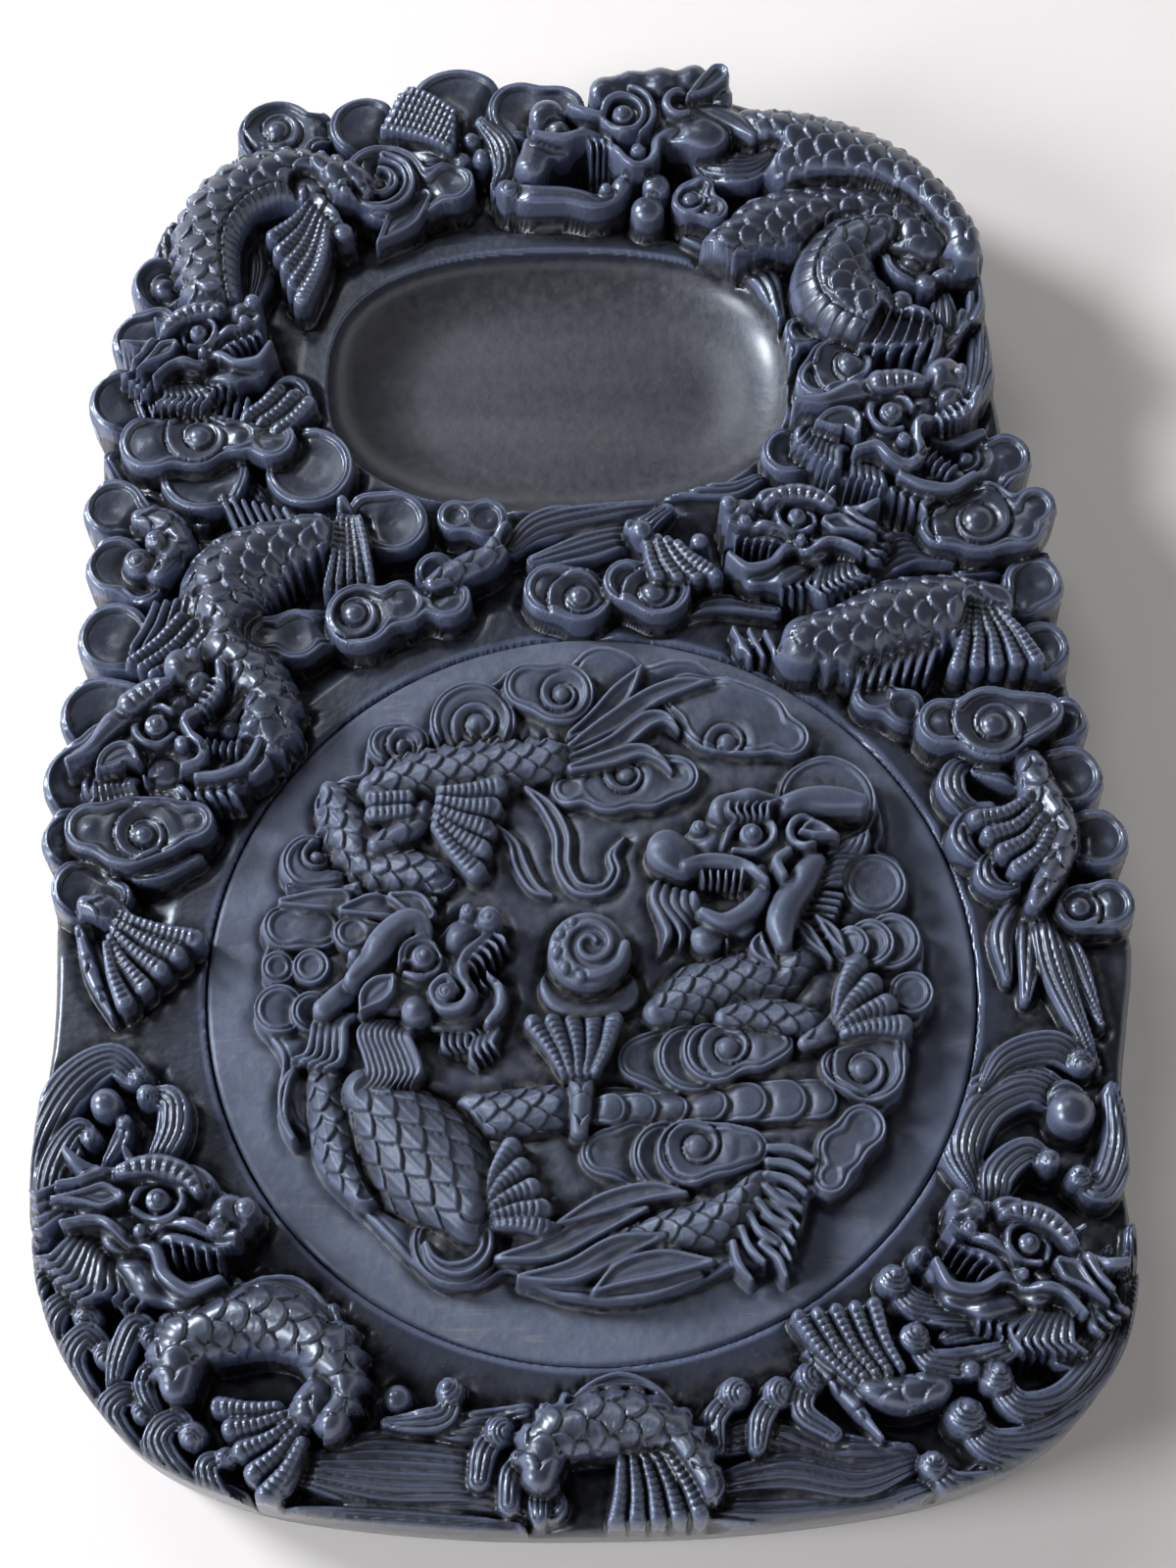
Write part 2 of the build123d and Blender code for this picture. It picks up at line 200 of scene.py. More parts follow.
class Carver:
    spiral = 0.75            # how fast a cloud's curl opens, as the logarithm of one turn's growth
    soft = 0.3               # a form's edge blends over this much to either side
    # a wavy lock: how far along, how far to the side, how wide
    lock = ((0, 0, 0.8), (0.22, -1, 1.0), (0.5, 0.1, 1.0), (0.78, 0.9, 0.8), (1, -0.3, 0.2))

    def __init__(self, relief):
        self.relief = relief

    def lay(self, where, inside, height, moat=1.2, reach=1.5):
        fall = np.exp(-(np.clip(-inside, 0, None) / reach) ** 2)
        self.relief.sink(where, moat * fall * (inside < self.soft))
        self.relief.lay(where, ease(inside, -self.soft, self.soft), height)

    def ribbon(self, route, top, margin=4):
        path = seen(curveThrough(route), top)
        where, x, y = self.relief.patch(path, path[:, 2].max() + margin)
        along, aside, radius = alongCurve(x, y, path)
        return where, along, aside, np.maximum(radius, 0.05)

    def blob(self, lobes, top, blend=1.0, margin=4):
        placed = seen(lobes, top)
        where, x, y = self.relief.patch(placed, placed[:, 2].max() + margin)
        outside = np.full(x.shape, 1e3)
        for cx, cy, r in placed:
            gap = np.hypot(x - cx, y - cy) - r
            h = np.clip(0.5 + 0.5 * (gap - outside) / blend, 0, 1)
            outside = gap * (1 - h) + outside * h - blend * h * (1 - h)
        return where, x, y, -outside

    def tube(self, route, top, coat=None, round=1.0, teeth=0, moat=1.2):
        where, along, aside, radius = self.ribbon(route, top)
        if teeth:
            tooth = 1 - np.abs(2 * ((along / 3.2) % 1) - 1)
            radius = radius + 1.8 * tooth * (aside * teeth > 0) * ease(radius, 2, 4)
        rise = np.sqrt(np.clip(1 - (aside / radius) ** 2, 0, 1))
        height = top - radius * round * (1 - rise)
        if coat:
            height = height + coat(along, aside, radius)
        self.lay(where, radius - np.abs(aside), height, moat)

    def strands(self, route, top, count=5, depth=0.8, sag=0.35, moat=0.8):
        where, along, aside, radius = self.ribbon(route, top)
        turn = np.abs(np.sin(math.pi * count * (aside / radius + 1) / 2))
        height = top - radius * sag * (aside / radius) ** 2 - depth * (1 - turn ** 0.7)
        self.lay(where, radius - np.abs(aside), height, moat)

    def leaf(self, route, top, rim=0.8, dish=0.9, moat=1.0):
        where, along, aside, radius = self.ribbon(route, top)
        inside = radius - np.abs(aside)
        height = top - 0.7 * (1 - roundOff(inside, 0.7)) - dish * ease(inside, rim, rim + 0.8)
        height = height - 0.4 * furrow(inside, rim + 0.3, 0.2) + 0.3 * ease(inside, rim + 0.8, rim + 2.5)
        self.lay(where, inside, height, moat)

    def mound(self, lobes, top, edge=4.0, drop=3.0, moat=1.2, blend=3.0):
        where, x, y, inside = self.blob(lobes, top, blend)
        self.lay(where, inside, top - drop * (1 - roundOff(inside, edge)), moat)

    def hollow(self, lobes, floor, edge=1.5, blend=2.0, at=34.0):
        where, x, y, inside = self.blob(lobes, at, blend)
        cover = ease(inside, 0, edge)
        here = self.relief.height[where]
        self.relief.lay(where, cover, np.minimum(here, floor))

    def knob(self, x0, y0, radius, top, tall=1.0, moat=1.0, swirl=0):
        where, x, y, inside = self.blob([(x0, y0, radius)], top)
        cx, cy = seen([(x0, y0)], top)[0]
        gap = radius - inside
        height = top - radius * tall * (1 - np.sqrt(np.clip(1 - (gap / radius) ** 2, 0, 1)))
        if swirl:
            angle = np.arctan2(y - cy, x - cx)
            line = (gap / radius * 2.2 + swirl * angle / (2 * math.pi)) % 1
            height = height - 0.5 * furrow(line, 0.5, 0.16) * ease(gap / radius, 0.15, 0.4)
        self.lay(where, inside, height, moat)

    def cloud(self, lobes, top, balls=(), dish=1.1, moat=2.0, drop=1.2, line=0.95):
        where, x, y, inside = self.blob(lobes, top, 2.5)
        height = top - drop * (1 - roundOff(inside, drop * 0.8)) - 0.5 * furrow(inside, line, 0.2)
        height = height - dish * ease(inside, line + 0.6, line + 1.1)
        height = height + dish * (0.7 if balls else -0.5) * ease(inside, line + 1.1, line + 5.5)
        for bx, by, radius, turn in balls:
            cx, cy = seen([(bx, by)], top)[0]
            gap = np.maximum(np.hypot(x - cx, y - cy), 0.2)
            angle = np.arctan2(y - cy, x - cx)
            wind = (np.log(gap / radius) / self.spiral + turn * angle / (2 * math.pi) + 0.2) % 1
            fade = ease(gap, radius * 0.9, radius * 1.1) * (1 - ease(gap, radius * 2.6, radius * 3.6))
            fade = fade * ease(inside, 0.4, 1.2)
            away = np.minimum(wind, 1 - wind) * gap * self.spiral
            height = height + (1.3 * wind - 0.6 - 0.7 * furrow(away, 0.0, 0.3)) * fade
            ball = top + 0.4 - radius * 0.8 * (1 - np.sqrt(np.clip(1 - (gap / radius) ** 2, 0, 1)))
            on = ease(radius - gap, -0.15, 0.25)
            height = (height - 0.6 * furrow(gap, radius + 0.3, 0.3)) * (1 - on) + ball * on
        self.lay(where, inside, height, moat, 1.6)

    def tongue(self, route, top, moat=0.9):
        where, along, aside, radius = self.ribbon(route, top)
        inside = radius - np.abs(aside)
        height = top - 0.5 * (1 - roundOff(inside, 0.5)) - 0.3 * furrow(inside, 0.85, 0.2)
        self.lay(where, inside, height, moat)

    def curl(self, route, top, radius, count=5):
        # a wave: its strands run up and wrap round a small ball at the crest
        self.strands(route, top, count)
        (ax, ay), (bx, by), (cx, cy) = seen([place[:2] for place in route[-3:]], top)
        span = math.hypot(cx - bx, cy - by)
        dx, dy = (cx - bx) / span, (cy - by) / span
        side = math.copysign(0.42, (bx - ax) * dy - (by - ay) * dx)
        where, x, y, inside = self.blob([(*route[-1][:2], radius)], top)
        gap = 1 - inside / radius
        fromX = x - cx - radius * (0.2 * dx - side * dy)
        fromY = y - cy - radius * (0.2 * dy + side * dx)
        turn = np.hypot(fromX, fromY) / radius
        height = top + radius * (0.45 - 0.95 * (1 - np.sqrt(np.clip(1 - gap * gap, 0, 1))))
        ridges = 1 - np.abs(np.sin(math.pi * (turn - 0.42) / 0.29)) ** 0.7
        height = height - 0.75 * ridges * ease(turn, 0.34, 0.42)
        height = height + 0.12 * radius * np.clip(1 - (turn / 0.42) ** 2, 0, 1)
        self.lay(where, inside, height, 0.5)

    def comb(self, start, end, count, top, radius=0.9, coat=None, sag=0.0, tip=0.55, moat=0.7, root=0.75):
        # ribs side by side from one line of roots to one line of tips
        (ax, ay), (bx, by) = start
        (cx, cy), (dx, dy) = end
        for k in range(count):
            t = k / max(count - 1, 1)
            base = (ax + (bx - ax) * t, ay + (by - ay) * t)
            far = (cx + (dx - cx) * t, cy + (dy - cy) * t)
            mid = ((base[0] + far[0]) / 2 - sag * (far[1] - base[1]),
                   (base[1] + far[1]) / 2 + sag * (far[0] - base[0]))
            self.tube([base + (radius * root,), mid + (radius * (1 + tip) / 2,), far + (radius * tip,)],
                      top, coat, 0.85, 0, moat)

    def beard(self, start, end, count, top, radius, sway):
        # wavy locks side by side, each drawn out to a point
        (ax, ay), (bx, by) = start
        (cx, cy), (dx, dy) = end
        for k in range(count):
            t = k / max(count - 1, 1)
            root = np.array([ax + (bx - ax) * t, ay + (by - ay) * t])
            tip = np.array([cx + (dx - cx) * t, cy + (dy - cy) * t])
            across = np.array([root[1] - tip[1], tip[0] - root[0]]) / np.hypot(*(tip - root))
            route = []
            for part, swing, width in self.lock:
                route.append((*(root + (tip - root) * part + across * swing * sway), radius * width))
            self.tube(route, top, None, 1.1, 0, 0.5)

    def fan(self, start, end, count, top, sag=0.0, close=0.95):
        # toes that touch each other and widen towards their tips
        near = max(math.dist(*start) / (count - 1) / 2, 0.8)
        far = math.dist(*end) / (count - 1) / 2 * close
        self.comb(start, end, count, top, near, toeCoat, sag, far / near, 0.7, 1.0)


# The body of the stone

body = dict(
    field=24.0,          # polished ground, level with the rim of the lid
    ground=22.0,         # ground between the carvings
    lidCentre=(0.0, -50.0),
    seatRadius=70.35,
    ledge=18.0,
    wellRadius=59.35,
    wellFloor=9.0,
    poolCentre=(-5.0, 78.0),
    poolHalf=(46.0, 30.0),
    poolFloor=16.0,
    poolSquareness=2.5,  # 2 is an ellipse, and more is fuller at the corners
    poolRounding=12.0,
    wellRounding=5.0,
    seatRounding=0.7,
    seatDip=0.3,
    flatRoundLid=(77, 83),
    flatRoundPool=(3, 9),
    # polished ground that runs out to the wall: side, then where it starts outwards, and along the stone
    bare=[(-1, (66, 72), (-70, -64), (-44, -38)), (1, (66, 72), (-80, -72), (-44, -36))],
)

# Outline of the wall as read in the photograph, and the carved lobes that stand out from it
outline = dict(
    wallHeight=26.0,
    wall=[(-2, 141), (14, 144), (28, 143), (38, 140), (50, 137), (60, 129.5), (70, 117), (76, 107),
          (79.5, 96), (80.5, 84), (82, 66), (84, 50), (88, 38), (90, 25), (91, 10), (92, -5), (94, -15),
          (97, -28), (98.2, -40), (98, -50), (96, -62), (94, -75), (93.6, -90), (94, -103), (91.5, -117),
          (86, -127), (76, -137), (62, -143.5), (45, -147), (22, -149.3), (0, -149.8), (-22, -149.3),
          (-45, -147), (-62, -143.5), (-76, -137), (-86, -127), (-93, -116), (-97, -104), (-98.5, -90),
          (-98, -75), (-96.8, -62), (-97, -48), (-98, -38), (-98.3, -25), (-97, -10), (-95.5, 5), (-94, 20),
          (-93.5, 35), (-94, 50), (-94.5, 62), (-92, 78), (-89, 92), (-86.5, 104), (-80.5, 116), (-72, 125),
          (-66, 131), (-50, 136.5), (-38, 138), (-28, 141), (-14, 141)],
    lobeHeight=30.0,
    headHeight=37.0,
    headLobes=[(3, 141, 5), (9, 144, 5), (15, 145, 4.8), (22, 145.5, 4.5), (26.5, 145.5, 3.8), (34, 139, 4)],
    lobes=[(-62, 133, 8.5), (-44, 134.5, 7.5), (-25, 137, 11.5), (-12, 138, 7), (-5, 137, 7),
           (-84, 97, 6.5), (-87.5, 84, 6.3), (-90, 70, 7.6), (-84.5, 60.5, 6.5), (-91, 46, 6.4),
           (-90, 33.5, 6.3), (-89.5, 18, 7.4), (-91.5, 2, 7.8), (-93, -11.5, 8.6), (-95, -23, 6.3),
           (-92.5, -33, 6.3), (73.5, 102.5, 6), (82, 54.5, 5.4), (87, 43.5, 4.4), (85.5, 27, 6),
           (86, 13, 5.7), (89, -2, 5), (89.5, -13.5, 6.3), (93.5, -26, 6), (94.5, -39, 5)],
    blend=1.5,
    edge=2.0,            # rounding of the top edge
    lean=2.0,            # the wall leans in towards the foot
    bevel=2.5,           # worn edge round the underside
    smoothFrom=20.0,     # above this the wall follows the lobes, and below smoothTo it runs smooth
    smoothTo=9.0,
    # rings of the wall, from the top edge at 0 to the foot at 1
    wallSteps=(0.1, 0.2, 0.3, 0.4, 0.5, 0.6, 0.7, 0.8, 0.88, 0.93, 0.965, 0.985, 1.0),
)


def wallRadius(turn):
    if "table" not in outline:
        points = curveThrough(seen(outline["wall"], outline["wallHeight"]), 8, closed=True)
        angle = np.arctan2(points[:, 1], points[:, 0])
        order = np.argsort(angle)
        outline["table"] = (angle[order], np.hypot(points[order, 0], points[order, 1]))
    return np.interp(turn, *outline["table"], period=2 * math.pi)


def insideStone(x, y):
    inside = wallRadius(np.arctan2(y, x)) - np.hypot(x, y)
    low = seen(outline["lobes"], outline["lobeHeight"])
    high = seen(outline["headLobes"], outline["headHeight"])
    for cx, cy, r in np.vstack([low, high]):
        lobe = r - np.hypot(x - cx, y - cy)
        h = np.clip(0.5 + 0.5 * (lobe - inside) / outline["blend"], 0, 1)
        inside = inside * (1 - h) + lobe * h + outline["blend"] * h * (1 - h)
    return inside


def insideLid(x, y):
    return lid["radius"] - np.hypot(x - lid["centre"][0], y - lid["centre"][1])


# The head of the dragon by the pearl on the lid
lidHead = dict(
    eye=(-30.4, -46.9),
    turn=31.7,
    top=37.0,
    beards=[
        (((-46.5, -57.5), (-41.5, -58)), ((-53.5, -66.5), (-47.5, -68.5)), 5, 32.8, 0.85, 1.5),
        (((-40, -58.5), (-31.5, -59.5)), ((-41, -72.5), (-32, -71.5)), 9, 33.2, 0.85, 1.3),
        (((-27.6, -60), (-23.4, -60.4)), ((-25.4, -65.4), (-21.4, -65.2)), 4, 33.2, 0.7, -0.6),
        (((-21.8, -61), (-18, -59.4)), ((-20.6, -68), (-17, -65.4)), 4, 33.0, 0.75, -0.7),
    ],
    mounds=[
        ([(-28, -57.5, 3.4), (-23.5, -58, 3.6), (-19, -56, 3.2), (-17.2, -53.5, 2.2)], 33.0),
        ([(-36.5, -52.5, 4.6), (-32, -51, 5.6), (-27.5, -50, 5.2), (-25, -46, 4.4), (-22.3, -42, 3.6)], 34.8),
        ([(-20.3, -40.2, 3.5), (-23.5, -43.5, 3.0)], 36.0),
        ([(-31.6, -57, 2.9)], 36.0),
    ],
    hollows=[([(-21.2, -51, 2.4), (-18.6, -48.6, 2.4), (-16.6, -46.2, 1.8)], 27.5)],
    tubes=[
        ([(-42.5, -50.8, 1.9), (-44.8, -53.6, 2.1), (-48.3, -56.8, 2.0)], 34.6),
        ([(-43, -51.2, 1.7), (-40, -47, 2.5), (-37, -43, 2.9), (-33.6, -40.2, 2.7), (-31, -40.4, 2.1),
          (-30.2, -43, 1.5)], 37.0),
        ([(-34.6, -48.5, 0.6), (-33.8, -45.3, 0.9), (-31.2, -43.6, 1.0), (-28.6, -44.6, 0.8)], 36.4),
        ([(-33.6, -50.3, 0.6), (-31, -51, 0.9), (-28.2, -49.8, 0.9), (-27.3, -47.5, 0.6)], 35.9),
        ([(-17.2, -40.4, 0.8), (-19.6, -44, 1.1), (-22.6, -47.2, 1.2), (-23.2, -50.4, 1.2),
          (-21.6, -53.6, 1.2), (-23.2, -56.6, 1.2), (-26.8, -56.6, 1.2), (-28.4, -53.4, 1.1),
          (-26.2, -51.2, 0.9), (-24.4, -53.4, 0.8)], 36.0),
        ([(-18.5, -60, 0.9), (-16.4, -57, 1.1), (-16.6, -53.4, 1.0), (-18.4, -51.2, 0.8)], 34.0),
    ],
    teeth=[
        (((-22.2, -48.4), (-17.2, -43)), ((-20.6, -50.2), (-15.4, -44.8)), 5, 35.0, 0.75, 0.1),
        (((-20.6, -54.6), (-17.6, -52)), ((-21.4, -52.6), (-18.8, -50.4)), 3, 33.6, 0.6, 0.1),
    ],
    leaves=[([(-41.5, -57.6, 0.5), (-39.8, -55, 2.4), (-37.4, -52.8, 2.5), (-35.8, -51.2, 0.8)], 36.2),
            ([(-33.8, -48, 0.4), (-32, -46.6, 2.2), (-29.4, -46.4, 2.3), (-27, -47.2, 0.4)], 35.6)],
    knobs=[(-30.4, -46.9, 2.3, 36.8, 0), (-30.2, -46.8, 0.9, 37.2, 0), (-18.6, -39.6, 2.4, 37.0, 1),
           (-22.3, -38.6, 1.6, 36.2, 1), (-26.2, -54, 1.8, 36.4, 1), (-42.9, -46.8, 1.3, 34.0, 0)],
)


# The head of the dragon at the near left. It is used four times on the body, each time moved to its own eye,
# turned to its own heading, and mirrored where it looks the other way.
bodyHead = dict(
    eye=(-76.5, -91.6),
    turn=-11,
    top=37.5,
    beards=[
        (((-86, -95.5), (-82, -100)), ((-97.5, -102), (-89, -110)), 7, 32.6, 1.1, 1.5),
        (((-82, -101), (-78.5, -103.5)), ((-85.5, -109), (-79, -111)), 4, 32.4, 1.0, 1.0),
        (((-90.5, -93.5), (-91, -89)), ((-98, -97), (-99, -90)), 4, 33.4, 1.0, 0.8),
    ],
    mounds=[
        ([(-79.5, -102, 3.8), (-77, -106.5, 3.4), (-71.5, -108.5, 3), (-66.5, -107, 2.4)], 33.4),
        ([(-87, -92.5, 4), (-81, -92, 6.4), (-75, -91.5, 6.4), (-69.5, -92.5, 4.6), (-65.5, -94, 3.8)], 35.2),
        ([(-82.5, -97, 4), (-77, -97, 4.2)], 35.0),
        ([(-71.5, -87.8, 3.2), (-68.6, -89.4, 2.6)], 36.4),
        ([(-63.6, -94.2, 3.8)], 37.2),
    ],
    hollows=[([(-72, -102.8, 2.8), (-68, -101.8, 2.8), (-73.5, -105, 1.8)], 25.0)],
    tubes=[
        ([(-62.8, -99.2, 0.9), (-67, -100, 1.1), (-71.6, -98.8, 1.2), (-75.4, -98.2, 1.1),
          (-77, -100.6, 0.8)], 35.8),
        ([(-62.6, -98, 0.9), (-66.5, -97.6, 1.1), (-70.5, -96, 1.1), (-74.5, -95.4, 1.1), (-78, -97, 1.1),
          (-80.6, -98.6, 1.1), (-83.6, -96.6, 1.0), (-87, -94.8, 0.9), (-93, -95.6, 0.6)], 36.8),
        ([(-81, -92, 0.6), (-79.4, -89.2, 0.9), (-76.2, -88, 0.9), (-73, -89.2, 0.9), (-72, -92, 0.8),
          (-74, -94.6, 0.8), (-77.6, -94.9, 0.8), (-80.6, -93.2, 0.6)], 36.7),
        ([(-80, -86.6, 1.7), (-85, -86.7, 1.6), (-89.6, -85.8, 1.5), (-93, -82.6, 0.9)], 37.0),
        ([(-86.5, -86.8, 1.2), (-90.4, -88.2, 1.1), (-94, -88.6, 0.7)], 36.6),
        ([(-81, -86, 1.2), (-82.6, -82.4, 0.8)], 36.8),
        ([(-80.5, -98.5, 1.0), (-76.5, -100.5, 1.3), (-74.5, -105, 1.4), (-70, -108, 1.3), (-65, -106, 1.0)],
         34.6),
    ],
    ribbed=[([(-83, -86.4, 1.4), (-79, -85.4, 2.1), (-75, -85.8, 2.4), (-71.4, -87.6, 2.0),
              (-69.4, -90.4, 1.0)], 37.5)],
    teeth=[(((-73.5, -99.8), (-65.5, -101)), ((-73, -102.8), (-65.4, -103.6)), 5, 35.0, 0.62, 0.05)],
    leaves=[([(-95, -91.2, 0.4), (-89.5, -91, 1.5), (-86, -90.9, 2.5), (-83.4, -91, 1.4)], 36.4)],
    knobs=[(-76.5, -91.6, 2.3, 37.3, 0), (-76.4, -91.5, 0.9, 37.7, 0), (-60.8, -93.4, 2.2, 36.6, 0),
           (-65.8, -96.6, 1.6, 37.2, 1), (-79.2, -97.2, 1.3, 36.4, 1)],
)


# The head seen from the side at the left edge, used again beside the pool
sideHead = dict(
    eye=(-81, 0),
    turn=60,
    top=37.5,
    strands=[([(-91, -12, 3.5), (-85, -12.5, 4.6), (-78, -12.5, 4.4), (-72, -12, 3.8), (-66, -11.5, 2.6)],
              32.0, 3)],
    beards=[
        (((-90, -10), (-84, -11)), ((-93, -15.5), (-84, -17.5)), 7, 33.6, 0.9, 0.8),
        (((-81, -11), (-76, -10)), ((-80.5, -17), (-74.5, -16)), 5, 33.8, 0.9, 0.7),
        (((-73, -9.5), (-67, -10)), ((-71.5, -15.5), (-65, -15.5)), 4, 33.2, 1.1, -0.8),
    ],
    mounds=[
        ([(-73, -9, 2.6), (-68, -8.5, 2.6), (-64, -5.5, 2.2)], 33.6),
        ([(-88, -5, 3.6), (-84, -3, 5), (-81, 0, 5.4), (-77.5, 3, 4), (-75.5, 7, 3.6)], 35.2),
        ([(-79, -5.5, 4), (-75.5, -4.5, 3.4)], 35.0),
        ([(-76.5, 12.5, 3.9)], 37.2),
        ([(-72.8, 8.6, 2.8)], 36.8),
    ],
    hollows=[([(-70.5, 2.5, 2.8), (-68, -1.5, 2.8), (-66, 3, 2)], 27.0)],
    tubes=[
        ([(-69.5, 12.5, 0.9), (-69.4, 8, 1.1), (-71.5, 4.5, 1.1), (-75.4, 1.2, 1.1), (-74.6, -2, 1.1),
          (-72, -4, 1.1), (-72.4, -7.6, 1.1), (-76, -8.6, 1.1), (-79.6, -7.8, 1.1), (-82.4, -10.5, 0.8)],
          36.6),
        (arc(-81, 0, 3.9, 40, 330, (0.6, 1.0, 0.7)), 36.4),
        ([(-86, 4, 2.4), (-89.5, 0, 2.2), (-92.5, -4.5, 1.6), (-97, -7.5, 0.8)], 36.8),
        ([(-72.6, -11, 1.0), (-68, -10.6, 1.2), (-63.5, -8, 1.2), (-61.4, -4, 0.9)], 34.4),
        ([(-71, -1, 1.4), (-67.5, 1, 1.8), (-64.5, 4.5, 1.0)], 31.5),
    ],
    ribbed=[([(-79.5, 8.5, 1.2), (-82.5, 7.2, 2.3), (-86, 4.6, 2.6)], 37.4)],
    teeth=[
        (((-70.5, 9), (-73.5, 3.5)), ((-68.2, 7.6), (-71.4, 2.2)), 5, 35.4, 0.62, 0.05),
        (((-71.4, -5.6), (-65.5, -6.6)), ((-71, -3), (-65, -4)), 5, 34.6, 0.62, 0.05),
    ],
    leaves=[([(-91.5, -9.6, 0.4), (-89.5, -7.6, 2.2), (-86.6, -6, 2.5), (-84, -7.4, 0.8)], 36.4)],
    knobs=[(-81, 0, 2.3, 37.3, 0), (-80.9, 0.1, 0.9, 37.7, 0), (-74.4, 14.6, 1.3, 37.2, 1),
           (-76, -4, 1.5, 36.4, 1)],
)


def turnedHead(head, x0, y0, turn, size, flip, top):
    angle = math.radians(turn - flip * head["turn"])
    eyeX, eyeY = head["eye"]

    def at(points):
        out = []
        for x, y, *width in points:
            u, v = (x - eyeX) * size, (y - eyeY) * size * flip
            out.append((x0 + u * math.cos(angle) - v * math.sin(angle),
                        y0 + u * math.sin(angle) + v * math.cos(angle), *(w * size for w in width)))
        return out

    def lift(height):
        return top + (height - head["top"]) * size

    region = {key: [(at(points), lift(height)) for points, height in head.get(key, ())]
              for key in ("mounds", "hollows", "tubes", "ribbed", "leaves")}
    region["strands"] = [(at(route), lift(height), count) for route, height, count in head.get("strands", ())]
    for key in ("beards", "teeth"):
        region[key] = [(at(roots), at(tips), count, lift(height), radius * size, sway * flip)
                       for roots, tips, count, height, radius, sway in head.get(key, ())]
    region["knobs"] = [(*at([(x, y)])[0], radius * size, lift(height), swirl * flip)
                       for x, y, radius, height, swirl in head["knobs"]]
    return region


# What is carved, region by region. A point of a route or a lobe is (x, y, half width), and a ball is
# (x, y, radius, turn). Fins and claws go from a line of roots to a line of tips, and then give their count
# and the height of their tops.
farLeft = dict(
    strands=[
        ([(-64, 127, 2), (-54, 130, 4), (-44, 129, 4.5), (-34, 127, 2)], 27.5, 5),
        ([(-70, 128, 2), (-62, 128, 3), (-54, 124, 2)], 28, 4),
        ([(-88, 112, 2), (-83, 108, 4), (-82, 98, 4)], 27, 4),
        ([(-67, 110, 3), (-65, 101, 4), (-66, 93, 2.5)], 27, 4),
    ],
    clouds=[
        ([(-62, 133, 8.5), (-54, 134.5, 4.5)], 30.0, [(-62, 134, 2.6, 1)]),
        ([(-44, 134.5, 7.5), (-37, 133, 4)], 30.0),
        ([(-25, 137, 11.5), (-32, 132, 7)], 31.0),
        ([(-12, 138, 7), (-5, 137, 7)], 31.0),
        ([(-84, 97, 6.5), (-79, 98, 4)], 30.0, [(-83.5, 96, 2.4, 1)]),
        ([(-40, 121, 9), (-32, 118, 4.5), (-26.5, 120.5, 5.2)], 30.5),
    ],
    leaves=[
        ([(-32, 117, 2), (-36, 112, 3.4), (-41, 106, 0.5)], 30),
        (arc(-41, 121, 6.2, -150, 80, (0.6, 1.5, 1.2)), 31.5),
        (arc(-41, 121, 3.0, -120, 90, (0.5, 1.2, 0.6)), 31.0),
    ],
    coils=[([(-46, 122, 4), (-54, 124, 6), (-63, 124.5, 6.8), (-71, 120, 7), (-75.5, 111, 6.8), (-75, 101, 6),
             (-73, 92, 5)], 36.0, -1, 1)],
    limbs=[([(-56, 120, 3), (-53, 115, 3.2), (-50, 111, 2.6)], 33)],
    claws=[
        (((-55, 116), (-51, 111)), ((-62, 108), (-56, 93)), 5, 32.5, 0.06),
        (((-36, 144), (-40, 134)), ((-26, 138), (-26, 129)), 6, 33.0, 0.05),
    ],
    knobs=[(-48, 109, 2.2, 32, 0), (-22, 131, 2.0, 31, 0), (-20, 127, 2.2, 31, 0), (-24, 126, 1.8, 30, 0)],
)

farRight = dict(
    strands=[
        ([(76, 100, 2), (79.5, 90, 3.5), (79.5, 78, 3.5), (77, 68, 2)], 27, 4),
        ([(72, 92, 2), (72, 84, 4), (69, 76, 2)], 29, 4),
        ([(22, 107, 2), (30, 103, 3), (37, 96, 3), (39, 88, 2)], 27, 3),
    ],
    clouds=[
        ([(73.5, 102.5, 6), (67, 101, 6.5), (63, 105, 4)], 32.5, [(67, 101, 2.6, -1)]),
        ([(51, 77, 6.5), (46.5, 73, 4.5)], 31.5, [(53, 76.5, 2.8, -1)]),
        ([(44, 84, 4), (40, 79, 3)], 29),
    ],
    coils=[
        ([(78, 104, 4), (72, 113, 7.5), (62, 122, 9.5), (51, 128, 10), (42, 131.5, 8.5), (35, 133, 6)],
         37.0, -1, 0),
        ([(70, 105, 4), (60, 112, 7), (48, 113, 8), (37, 111, 7), (28, 105, 4)], 34.5, 0, 0),
        ([(67, 87, 4), (58, 90, 8), (51.5, 97, 9.5), (54, 106, 7), (61, 109, 3.5)], 35.5, 0, 1),
    ],
    fins=[
        (((60, 87), (71, 84)), ((55, 79), (69, 77)), 6, 31, 1.3, 0.05),
        (((76, 88), (80, 96)), ((72, 80), (78, 86)), 3, 29, 1.3, 0.1),
    ],
    knobs=[(64, 91, 2.4, 33, 0), (69, 95, 2.2, 32, 0)],
)

